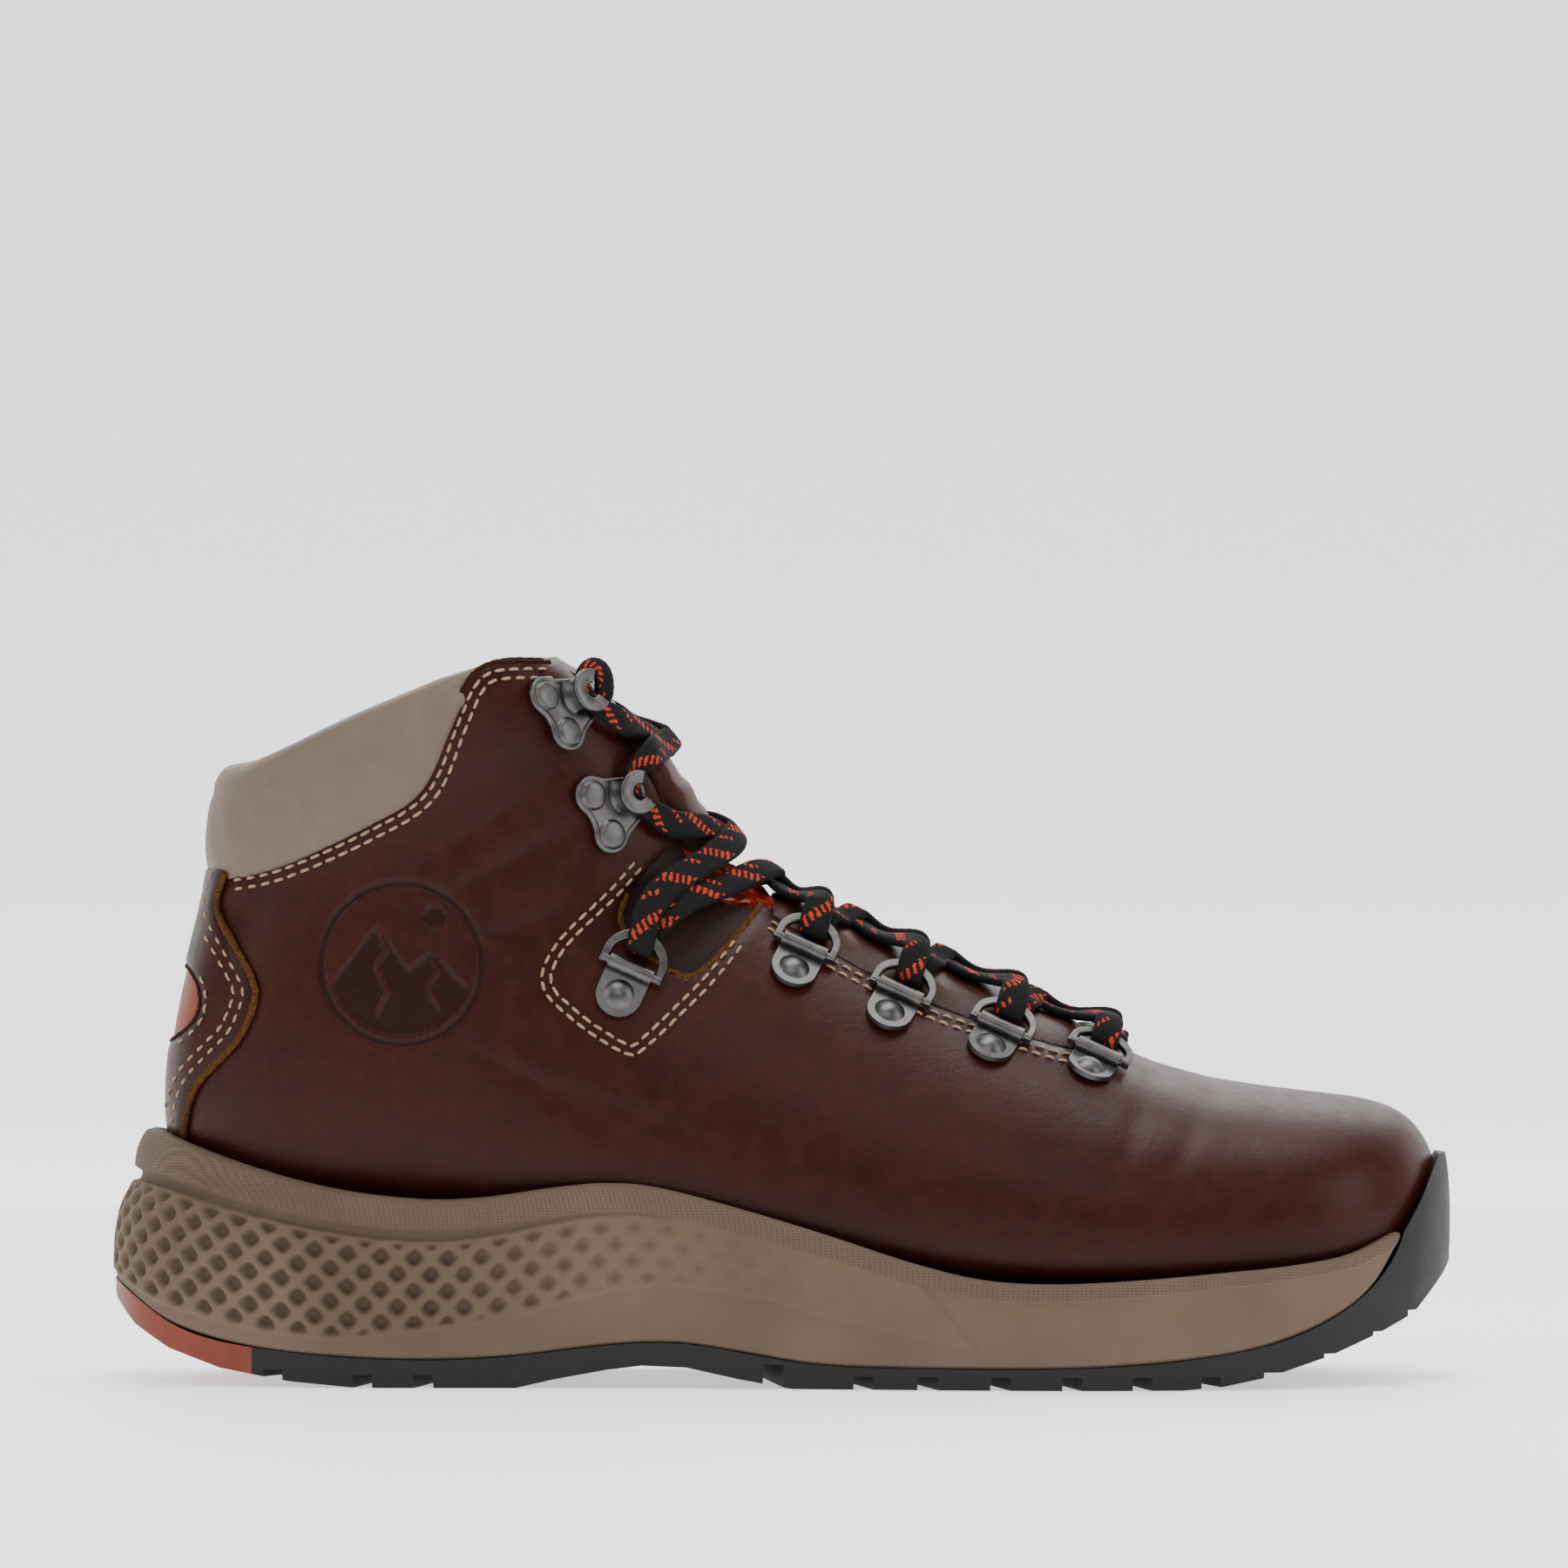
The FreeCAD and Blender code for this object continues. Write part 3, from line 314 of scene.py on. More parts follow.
def open_edges(faces):
    """Directed edges that only one face uses."""
    seen = {}
    for face in faces:
        for i, a in enumerate(face):
            b = face[(i + 1) % len(face)]
            seen[(a, b)] = seen.get((a, b), 0) + 1
    return [(a, b) for a, b in seen if (b, a) not in seen]


def thick_sheet(points, normals, faces, thickness):
    """A sheet's outer and inner faces, joined round its edges."""
    count = len(points)
    inner = points - normals * thickness
    rim = [(b, a, a + count, b + count) for a, b in open_edges(faces)]
    turned = [tuple(i + count for i in reversed(face)) for face in faces]
    return np.vstack([points, inner]), [*faces, *turned, *rim]


def tube(path, radius, ups, sides=8, roughness=0.12):
    """A slightly rough tube along a path, as points and faces."""
    run = unit(np.gradient(path, axis=0))
    side = unit(np.cross(run, ups))
    up = np.cross(side, run)
    angle = np.linspace(0, 2 * math.pi, sides, endpoint=False)
    size = radius * (1 + roughness * rng.normal(size=(len(path), sides)))
    ring = (path[:, None] + side[:, None] * (np.cos(angle) * size)[..., None]
            + up[:, None] * (np.sin(angle) * size)[..., None])
    return ring.reshape(-1, 3), ring_solid(len(path), sides)


def joined(parts):
    """Several lots of points and faces as one."""
    points, faces, start = [], [], 0
    for some, more in parts:
        points.append(some)
        faces += [tuple(i + start for i in face) for face in more]
        start += len(some)
    return np.vstack(points), faces


# ---------------------------------------------------------------- materials
class Shader:
    """A material's nodes, made one call at a time."""

    def __init__(self, name):
        self.material = bpy.data.materials.new(name)
        self.material.use_nodes = True
        self.tree = self.material.node_tree
        self.tree.nodes.clear()
        self.output = self.tree.nodes.new("ShaderNodeOutputMaterial")
        self.surface = self.tree.nodes.new("ShaderNodeBsdfPrincipled")
        self.tree.links.new(self.surface.outputs[0], self.output.inputs["Surface"])

    def put(self, socket, value):
        """Links a socket to another node's output, or sets it."""
        if isinstance(value, bpy.types.NodeSocket):
            self.tree.links.new(value, socket)
        else:
            socket.default_value = value

    def add(self, kind, *inputs, out=0, settings=None, **sockets):
        """A node with its first inputs in order and others by name, as one of its outputs."""
        node = self.tree.nodes.new("ShaderNode" + kind)
        for key, value in (settings or {}).items():
            setattr(node, key, value)
        for socket, value in zip(node.inputs, inputs):
            self.put(socket, value)
        for key, value in sockets.items():
            self.put(node.inputs[key.replace("_", " ")], value)
        return node.outputs[out]

    def coords(self, scale=(1, 1, 1), turn=(0, 0, 0)):
        place = self.add("TexCoord", out=3)
        return self.add("Mapping", Vector=place, Scale=scale, Rotation=turn)

    def noise(self, size_mm, detail=3.0, rough=0.5, coords=None):
        return self.add("TexNoise", Vector=coords or self.coords(), Scale=1000.0 / size_mm,
                        Detail=detail, Roughness=rough)

    def cells(self, size_mm):
        return self.add("TexVoronoi", Vector=self.coords(), Scale=1000.0 / size_mm)

    def waves(self, size_mm, direction, distortion):
        return self.add("TexWave", settings={"wave_type": "BANDS", "bands_direction": direction},
                        Vector=self.coords(), Scale=1000.0 / size_mm / 6.3, Distortion=distortion,
                        Detail=1.0)

    def math(self, operation, a, b=0.0):
        return self.add("Math", a, b, settings={"operation": operation})

    def ramp(self, value, low, high, to_low=0.0, to_high=1.0):
        return self.add("MapRange", Value=value, From_Min=low, From_Max=high, To_Min=to_low,
                        To_Max=to_high)

    def mix(self, share, first, second):
        node = self.tree.nodes.new("ShaderNodeMix")
        node.data_type = "RGBA"
        self.put(node.inputs[0], share)
        for socket, value in ((node.inputs[6], first), (node.inputs[7], second)):
            self.put(socket, value if isinstance(value, bpy.types.NodeSocket) else (*value, 1.0))
        return node.outputs[2]

    def layer(self, name):
        return self.add("Attribute", out=2, settings={"attribute_name": name})

    def bump(self, height, depth_mm, strength=1.0, below=None):
        under = {} if below is None else {"Normal": below}
        return self.add("Bump", Height=height, Distance=depth_mm * MM, Strength=strength, **under)

    def finish(self, **sockets):
        for key, value in sockets.items():
            self.put(self.surface.inputs[key.replace("_", " ")], value)
        return self.material


def leather(name, base, dark, light, rough=0.42, grain=0.05, coat=0.03, patchy=0.55):
    """Smooth leather: drifting dye, fine pores, short creases, duller worn patches and painted shade."""
    s = Shader(name)
    drift = s.noise(38.0, detail=3.0, rough=0.55)
    mottle = s.noise(5.0, detail=4.0, rough=0.6)
    tone = s.mix(s.ramp(drift, 0.34, 0.68, 0.0, patchy), base, dark)
    tone = s.mix(s.ramp(mottle, 0.45, 0.75, 0.0, 0.35), tone, light)
    # painted shade: the 'shade' layer pulls the tone towards the dark colour
    tone = s.mix(s.layer("shade"), tone, dark)
    pores = s.cells(0.85)
    fine = s.noise(0.7, detail=2.0)
    crease = s.noise(3.2, detail=4.0, rough=0.62, coords=s.coords(scale=(1.0, 0.8, 1.7)))
    first = s.bump(pores, grain, 0.55)
    second = s.bump(fine, grain * 0.8, 0.5, first)
    third = s.bump(crease, grain * 3.0, 0.55, second)
    gloss = s.ramp(mottle, 0.3, 0.7, rough - 0.05, rough + 0.07)
    return s.finish(Base_Color=tone, Roughness=gloss, Normal=third, Coat_Weight=coat,
                    Coat_Roughness=0.3, Specular_IOR_Level=0.16)


SCALE_WIDTH, SCALE_HEIGHT = 2.10, 1.25      # the woven scales of the midsole's rim


def foam(name, base, light):
    """Moulded foam: pebbled skin, small woven scales along its upper rim, and painted shade in its hollows
    and between the scales.
    """
    s = Shader(name)
    drift = s.noise(30.0, detail=2.0)
    fine = s.noise(0.7, detail=3.0)
    x, y, z = s.add("SeparateXYZ", s.coords()).node.outputs
    along = s.math("MULTIPLY", s.math("ADD", x, y), 2 * math.pi / (SCALE_WIDTH * MM))
    up = s.math("MULTIPLY", z, 2 * math.pi / (SCALE_HEIGHT * MM))
    first = s.math("SINE", s.math("ADD", along, up))
    second = s.math("SINE", s.math("SUBTRACT", along, up))
    scales = s.math("MULTIPLY", first, second)
    rim = s.layer("rim")
    tone = s.mix(s.ramp(drift, 0.35, 0.65), base, light)
    # painted shade: the foam darkens in the midsole's pockets and recess
    tone = s.mix(s.layer("hollow_shade"), tone, [c * 0.72 for c in base])
    # painted shade: the rim's foam darkens in the grooves between the woven scales
    tone = s.mix(s.math("MULTIPLY", rim, s.ramp(scales, 0.2, -0.6)), tone, [c * 0.8 for c in base])
    smooth = s.math("SUBTRACT", 1.0, s.layer("smooth"))
    grain = s.bump(s.math("MULTIPLY", fine, smooth), 0.16, 0.7)
    cloth = s.bump(s.math("MULTIPLY", scales, rim), 0.11, 0.8, grain)
    return s.finish(Base_Color=tone, Roughness=0.7, Normal=cloth, Specular_IOR_Level=0.3)


def rubber(name, base, light, rough=0.62):
    s = Shader(name)
    dust = s.noise(9.0, detail=5.0, rough=0.65)
    fine = s.noise(0.5, detail=2.0)
    tone = s.mix(s.ramp(dust, 0.42, 0.72), base, light)
    return s.finish(Base_Color=tone, Roughness=s.ramp(dust, 0.3, 0.7, rough - 0.08, rough + 0.08),
                    Normal=s.bump(fine, 0.04, 0.45), Specular_IOR_Level=0.35)


def satin_metal(name):
    """Satin nickel plate, with fine tumbling marks and duller hollows."""
    s = Shader(name)
    cloud = s.noise(2.2, detail=4.0, rough=0.6)
    scratch = s.noise(0.5, detail=3.0, coords=s.coords(scale=(1.0, 1.0, 6.0), turn=(0.3, 0.5, 0.2)))
    tone = s.mix(s.ramp(cloud, 0.35, 0.7), (0.085, 0.081, 0.079), (0.135, 0.130, 0.126))
    return s.finish(Base_Color=tone, Metallic=1.0, Roughness=s.ramp(cloud, 0.3, 0.7, 0.34, 0.46),
                    Normal=s.bump(scratch, 0.012, 0.5))


def thread(name, base, dark):
    s = Shader(name)
    twist = s.noise(0.5, detail=2.0)
    tone = s.mix(s.ramp(twist, 0.35, 0.7), base, dark)
    return s.finish(Base_Color=tone, Roughness=0.8, Normal=s.bump(twist, 0.06, 0.6),
                    Specular_IOR_Level=0.2)


def braid(name):
    """Black lace with red flecks; the yarns themselves are modelled."""
    s = Shader(name)
    fibre = s.noise(0.28, detail=3.0)
    black = s.mix(s.ramp(fibre, 0.3, 0.8), (0.0028, 0.0028, 0.003), (0.013, 0.012, 0.012))
    red = s.mix(s.ramp(fibre, 0.3, 0.8), (0.34, 0.018, 0.007), (0.55, 0.05, 0.018))
    tone = s.mix(s.ramp(s.layer("fleck"), 0.35, 0.6), black, red)
    return s.finish(Base_Color=tone, Roughness=0.85, Normal=s.bump(fibre, 0.05, 0.6),
                    Specular_IOR_Level=0.15)


def raw_edge(name, base, dark):
    """Cut leather edge: fuzzy, ochre fibres."""
    s = Shader(name)
    fuzz = s.noise(0.6, detail=5.0, rough=0.75)
    tone = s.mix(s.ramp(fuzz, 0.38, 0.66), dark, base)
    return s.finish(Base_Color=tone, Roughness=0.95, Normal=s.bump(fuzz, 0.25, 0.9),
                    Specular_IOR_Level=0.1)


def knit(name, base, dark, size=1.1):
    s = Shader(name)
    weave = s.math("MULTIPLY", s.waves(size, "DIAGONAL", 2.0), s.waves(size, "Z", 1.0))
    tone = s.mix(s.ramp(weave, 0.1, 0.7), dark, base)
    return s.finish(Base_Color=tone, Roughness=0.92, Normal=s.bump(weave, 0.25, 0.8),
                    Specular_IOR_Level=0.15)


BROWN = leather("leather_brown", (0.030, 0.0034, 0.0008), (0.013, 0.0016, 0.0005),
                (0.055, 0.0082, 0.0020))
BROWN_SOFT = leather("leather_brown_soft", (0.038, 0.0075, 0.003), (0.018, 0.004, 0.002),
                     (0.058, 0.014, 0.0065), rough=0.45, grain=0.07)
DARK = leather("leather_dark", (0.018, 0.005, 0.003), (0.009, 0.003, 0.002), (0.03, 0.0095, 0.0055),
               rough=0.5, grain=0.05)
GREY = leather("leather_grey", (0.145, 0.110, 0.083), (0.110, 0.083, 0.062), (0.18, 0.141, 0.110),
               rough=0.5, grain=0.08, coat=0.0, patchy=0.4)
TAN = leather("leather_tan", (0.20, 0.030, 0.006), (0.11, 0.014, 0.004), (0.27, 0.052, 0.012),
              rough=0.4, grain=0.03, coat=0.0)
FOAM = foam("foam_taupe", (0.098, 0.066, 0.041), (0.125, 0.088, 0.057))
RUBBER = rubber("rubber_black", (0.0035, 0.0033, 0.0034), (0.009, 0.0086, 0.0086))
RUST = rubber("rubber_rust", (0.15, 0.024, 0.008), (0.20, 0.038, 0.014), 0.55)
METAL = satin_metal("nickel_satin")
THREAD = thread("thread_cream", (0.36, 0.265, 0.17), (0.22, 0.145, 0.085))
LACE = braid("lace_braid")
RAW = raw_edge("edge_ochre", (0.13, 0.055, 0.014), (0.035, 0.013, 0.005))
RAW_DARK = raw_edge("edge_brown", (0.05, 0.016, 0.007), (0.015, 0.005, 0.003))
KNIT = knit("knit_orange", (0.46, 0.035, 0.012), (0.17, 0.011, 0.006))
LINING = knit("lining_mesh", (0.15, 0.128, 0.105), (0.085, 0.072, 0.058), 0.7)
BOARD = raw_edge("fibre_board", (0.42, 0.33, 0.22), (0.26, 0.19, 0.12))

CAD_FINISHES = {
    METAL: ["lace_clips", "lace_hook", "clip_rivets", "hook_rivets", "rivet_backs", "d_ring", "shank"],
    RUBBER: ["outsole"], RUST: ["outsole_heel"], BOARD: ["insole_board", "heel_counter", "toe_puff"],
    LINING: ["lining", "footbed"], FOAM: ["midsole"], BROWN: ["upper_leather", "heel_panel"],
    BROWN_SOFT: ["tongue", "instep_pad"], GREY: ["collar_pad"], TAN: ["heel_insert"],
    DARK: ["flex_patch"], KNIT: ["tongue_gusset"], LACE: ["lace"],
}


def finish_cad_nodes():
    """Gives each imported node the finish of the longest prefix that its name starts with."""
    ordered = sorted(((prefix, m) for m, names in CAD_FINISHES.items() for prefix in names),
                     key=lambda pair: len(pair[0]))
    for name, node in frame["nodes"].items():
        for prefix, material in ordered:
            if name.startswith(prefix):
                node.data.materials.clear()
                node.data.materials.append(material)


# ---------------------------------------------------------------- outlines, as x and height
COLLAR_EDGE = smooth_path([(-146, 114.6), (-136, 115.6), (-127.3, 116.4), (-114.3, 119.4),
                           (-94.3, 128.4), (-82.3, 136.4), (-75.9, 151.0), (-72.1, 159.6),
                           (-68.2, 163.6), (-63.3, 164.8), (-54.1, 164.9), (-46.9, 164.5),
                           (-42.3, 163.0), (-34.0, 159.6)])
TOP_LINE = smooth_path([(-150, 140.2), (-129.3, 140.6), (-120.3, 142.8), (-94.3, 153.4),
                        (-68.3, 164.0), (-60.3, 165.4), (-48.3, 165.3), (-42.3, 163.4), (-34, 160.0)])
QUARTER_FRONT = [(-42.3, 175.0), (-42.3, 162.8), (-35.7, 153.2), (-27.1, 132.2), (-25.1, 123.2)]
U_CUT = [(-31.7, 116.4), (-35.4, 111.8), (-37.0, 107.6), (-36.2, 103.4), (-31.3, 98.2),
         (-26.4, 94.8), (-21.6, 93.4), (-16.4, 96.4), (-9.1, 104.4), (-4.8, 109.6), (-2.5, 112.4)]
FACING = smooth_path([(-2.5, 106.8), (12.3, 97.6), (32.3, 87.4), (42.5, 83.6), (55.9, 79.2),
                      (66.3, 76.4), (76.0, 76.2), (84.0, 80.0)])
THROAT = np.vstack([QUARTER_FRONT[:-1], smooth_path([QUARTER_FRONT[-1], *U_CUT]), [(-2.5, 111.0)],
                    FACING, [(60, 110), (20, 140), (-20, 175)]])
WEDGE = ((10.5, 104.0), (20.5, 180.0))
WEDGE_MIDDLE, WEDGE_REAR, FAR_OUTSIDE = 0.6, -70.0, -20.0
FEATHER = smooth_path([(-158.0, 58.5), (-143.3, 56.8), (-120.3, 49.4), (-100.3, 44.8), (-82.3, 42.8),
                       (-68.3, 43.2), (-52.3, 45.4), (-40.3, 46.4), (-28.3, 45.4), (-10.3, 40.8),
                       (9.7, 34.8), (29.7, 28.4), (45.7, 24.8), (61.7, 24.0), (79.7, 24.8),
                       (99.7, 26.4), (115.7, 27.8), (129.7, 30.0), (141.3, 34.8)])
HEEL_PANEL = np.vstack([[(-160, 117.0), (-128.6, 117.4)],
                        smooth_path([(-126.9, 116.4), (-129.0, 108.4), (-124.9, 100.2),
                                     (-121.0, 93.0), (-120.2, 87.6), (-123.5, 79.4), (-128.3, 74.0),
                                     (-133.7, 67.8), (-136.2, 60.4), (-137.0, 50.0)]),
                        [(-137.0, 40.0), (-160, 40)]])
HEEL_WINDOW = np.vstack([[(-160, 96.8)],
                         smooth_path([(-141.0, 96.4), (-137.1, 95.4), (-134.0, 92.6),
                                      (-132.4, 88.6), (-132.9, 84.2), (-135.6, 80.6),
                                      (-141.5, 76.0)]), [(-160, 74)]])
FLEX_LINE = [(-29.1, 124.4), (-33.7, 119.4), (-39.1, 113.2), (-44.3, 108.2), (-48.9, 103.8),
             (-52.6, 99.2), (-54.9, 94.0), (-53.9, 89.2), (-49.1, 84.4), (-42.7, 79.6),
             (-35.1, 75.6), (-31.0, 77.6), (-23.7, 84.4), (-16.1, 92.0), (-8.3, 101.6), (-3.9, 107.0)]
FLEX_TOP = [(-4.6, 108.4), (-10.0, 109.0), (-15.0, 109.6), (-19.0, 113.5), (-21.4, 118.0), (-24.0, 126.0)]
FLEX_OUTLINE = np.vstack([smooth_path(FLEX_LINE), FLEX_TOP])
GUSSET_ZONE = smooth_path([(-27, 126), (-35, 112), (-30, 98), (-18, 92), (-8, 95), (4, 104),
                           (6, 110), (-4, 118), (-16, 132)], closed=True)
SWELL_EDGES = (-6.5, 17.0, 38.5, 58.5, 72.0)        # x where the lace presses the instep flat
EMBLEM = (-86.9, 96.2)
EMBLEM_RADIUS, EMBLEM_BEVEL = 19.0, 0.35


def wedge_distance(points, margin=0.0):
    """Distance inside the open throat as it is seen from the front."""
    (low, z0), (high, z1) = WEDGE
    half = low + (high - low) * (points[:, 2] - z0) / (z1 - z0) + margin
    inside = half - np.abs(points[:, 1] - WEDGE_MIDDLE)
    return np.where((points[:, 2] < z0) | (points[:, 0] < WEDGE_REAR), FAR_OUTSIDE, inside)


def throat_distance(points):
    return np.maximum(within(THROAT, points), wedge_distance(points))


# ---------------------------------------------------------------- the emblem: two peaks in a ring
def near_line(p, a, b, width):
    """1 on a line with soft edges, 0 away from it."""
    a, b = np.array(a), np.array(b)
    run = b - a
    share = np.clip(((p - a) @ run) / (run @ run), 0, 1)
    away = np.linalg.norm(p - a - share[:, None] * run, axis=1)
    return np.clip((width / 2 - away) / EMBLEM_BEVEL + 0.5, 0, 1)


def emblem_depth(points):
    """How deep the emblem is pressed, 0 to 1: a ring, a range of two peaks and a round sun."""
    q = points[:, [0, 2]] - np.array(EMBLEM)
    radius = np.linalg.norm(q, axis=1)

    def soft(distance):
        return np.clip(distance / EMBLEM_BEVEL + 0.5, 0, 1)

    ring = soft(0.75 - np.abs(radius - EMBLEM_RADIUS + 0.8))
    left, right = (-5.6, 8.6), (7.0, 2.6)
    peaks = np.array([(-22.0, -12.5), left, (1.6, -1.6), right, (22.0, -13.0), (22, -40), (-22, -40)])
    mountains = soft(np.minimum(inside_distance(peaks, *q.T), EMBLEM_RADIUS - 2.6 - radius))
    for ridge in ((left, (-3.4, 3.0), (-5.8, -0.4), (-3.0, -6.0), (-5.4, -11.0)),
                  (right, (8.2, -1.6), (6.2, -5.0), (8.4, -9.6))):
        for a, b in zip(ridge, ridge[1:]):
            mountains = mountains * (1 - near_line(q, a, b, 1.0))
    sun = soft(2.7 - np.hypot(q[:, 0] - 7.6, q[:, 1] - 10.4))
    return np.maximum.reduce([ring, mountains, sun])


# ---------------------------------------------------------------- leather upper
def sheet_piece(name, along, around, height, keep, slot, material, thickness=1.8, painted_shade=None):
    """A sheet over the last: its height, its cut and its painted shade are functions of the surface points.
    """
    points, normals, quads = last_grid(along, around)
    # painted shade: the 'shade' layer darkens the leather's colour where shade would fall
    shade = painted_shade(points) if painted_shade else np.zeros(len(points))
    columns = np.hstack([points + normals * height(points)[:, None], normals, shade[:, None]])
    columns, faces = clip(columns, quads, keep(points))
    points, faces = thick_sheet(columns[:, :3], columns[:, 3:6], faces, thickness)
    return make_piece(name, points, faces, slot, [material], layers={"shade": np.tile(columns[:, 6], 2)})


def span_of(mark, margin=3):
    """Stretches of the last where a mark function is above zero: along and around."""
    along, around = np.linspace(0, LAST_END, 340), np.linspace(-180, 180, 361)
    hit = (mark(last_grid(along, around)[0]) > 0).reshape(len(along), len(around))
    found = []
    for stops, axis in ((along, 1), (around, 0)):
        marked = np.nonzero(hit.any(axis=axis))[0]
        found += [stops[max(marked[0] - margin, 0)], stops[min(marked[-1] + margin, len(stops) - 1)]]
    return found


def above_feather(p):
    """Height above the leather's lower edge, which is tucked behind the midsole."""
    return 6.0 - below(FEATHER, p)


def in_emblem(p):
    away = np.hypot(p[:, 0] - EMBLEM[0], p[:, 2] - EMBLEM[1])
    return np.where(p[:, 1] < 0, EMBLEM_RADIUS + 1.5 - away, -1.0)


def leather_swell(p):
    """Soft rounding of the leather towards its cut edges, creases at the ankle and the emblem."""
    edge = np.clip(np.minimum(below(COLLAR_EDGE, p), -throat_distance(p)), 0, 3)
    round_over = -0.55 * (1 - edge / 3) ** 2
    crease = np.zeros(len(p))
    for x, z, tilt, length, deep in ((-64, 118, 0.5, 18, 0.35), (-70, 126, 0.6, 16, 0.3),
                                     (-60, 104, 0.3, 14, 0.3), (-52, 66, -0.5, 22, 0.35),
                                     (-34, 62, -0.35, 24, 0.3), (92, 56, 1.1, 16, 0.3),
                                     (80, 60, 1.2, 18, 0.3), (-118, 110, 0.5, 15, 0.25)):
        across = (p[:, 0] - x) * math.cos(tilt) + (p[:, 2] - z) * math.sin(tilt)
        beside = -(p[:, 0] - x) * math.sin(tilt) + (p[:, 2] - z) * math.cos(tilt)
        crease -= deep * np.exp(-(beside / 2.6) ** 2 - (across / length) ** 2)
    return round_over + crease


def build_upper():
    """The leather of the quarters and the vamp, in one piece, with the emblem pressed into it."""
    u0, u1, a0, a1 = span_of(in_emblem)
    along = spaced([(0, 1.8), (u0, 0.6), (u1, 1.8), (LAST_END, 0)])
    around = spaced([(-180, 2.2), (a0, (a1 - a0) / 84), (a1, 1.8), (25, 2.2), (180, 0)])

    def pressed(p):
        return np.where(in_emblem(p) > 0, emblem_depth(p), 0.0)

    def top(p):
        return np.minimum.reduce([below(COLLAR_EDGE, p), -throat_distance(p), below(TOP_LINE, p)])

    # painted shade: darker towards the sole, along the top cut edges and inside the pressed emblem
    def painted_shade(p):
        low = np.clip(1 + below(FEATHER, p) / 9.0, 0, 1)
        edge = np.clip(1 - top(p) / 2.2, 0, 1)
        return np.clip(0.95 * pressed(p) + 0.55 * low ** 2 + 0.5 * edge, 0, 1)

    piece = sheet_piece("upper_skin", along, around, lambda p: leather_swell(p) - 0.5 * pressed(p),
                        lambda p: np.minimum(top(p), above_feather(p)), "brown_leather", BROWN, painted_shade=painted_shade)
    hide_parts("upper_leather")


def build_heel_panel():
    """The backstay with its window, and the tan leather that shows through it."""
    def window(p):
        return within(HEEL_WINDOW, p)

    def edge(p):
        return np.minimum(within(HEEL_PANEL, p), -window(p))

    def keep(p):
        return np.minimum.reduce([edge(p), above_feather(p), below(COLLAR_EDGE, p) + 0.8])

    u0, u1, _, _ = span_of(lambda p: within(HEEL_PANEL, p) + 2)
    along, around = np.arange(u0, u1, 0.8), np.arange(100, 260.1, 1.2)
    piece = sheet_piece("heel_panel_skin", along, around,
                        lambda p: 1.5 - 0.5 * (1 - np.clip(edge(p), 0, 1.6) / 1.6) ** 2,
                        keep, "brown_leather", BROWN, 1.5,
                        # painted shade: the backstay darkens towards its cut edges
                        lambda p: np.clip(0.75 - np.clip(edge(p), 0, 5) / 4.5, 0, 0.75))
    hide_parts("heel_panel")
    piece = sheet_piece("heel_insert_skin", along, around, lambda p: np.full(len(p), 0.7),
                        lambda p: window(p) + 3.0, "tan_leather", TAN, 0.7,
                        # painted shade: the tan leather darkens where the backstay's window edge lies over it
                        lambda p: np.clip(0.7 - window(p) / 2.0, 0, 0.7))
    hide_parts("heel_insert")


def build_flex_patches():
    """The dark leather underlays that show through the cut-outs behind the first rings."""
    def keep(p):
        return np.minimum(within(FLEX_OUTLINE, p) + 1.0, -wedge_distance(p, -0.5))

    u0, u1, _, _ = span_of(lambda p: within(FLEX_OUTLINE, p))
    for name, side in SIDES:
        around = np.sort(np.arange(4, 110, 1.0) * side)
        piece = sheet_piece("flex_underlay_" + name, np.arange(u0, u1, 0.9), around,
                            lambda p: np.full(len(p), -1.95), keep, "dark_leather", DARK, 1.0)
        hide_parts("flex_patch_" + name)


# ---------------------------------------------------------------- padded pieces
def last_frames(along, around):
    """Points and outward normals of the last at distances along it and angles round it."""
    def place(u, a):
        return last_points(np.clip(u, 0, LAST_END), a)
    up = place(along + 0.5, around) - place(along - 0.5, around)
    across = place(along, around + 0.8) - place(along, around - 0.8)
    return place(along, around), unit(np.cross(across, up))


def crossing(around, level, low):
    """For each angle, the distance along the last where level(points) turns from plus to minus."""
    u = np.linspace(low, LAST_END, 700)
    found = np.zeros(len(around))
    for i, angle in enumerate(around):
        value = level(last_points(u, np.full(len(u), angle)))
        turns = np.nonzero((value[:-1] > 0) & (value[1:] <= 0))[0]
        k = turns[-1] if len(turns) else len(u) - 2
        share = value[k] / (value[k] - value[k + 1]) if value[k] > 0 >= value[k + 1] else 1.0
        found[i] = u[k] + (u[k + 1] - u[k]) * share
    return found


PAD_FACE, PAD_ROLL, PAD_BACK = 30, 9, 18        # rows of points up a pad, over its top and down


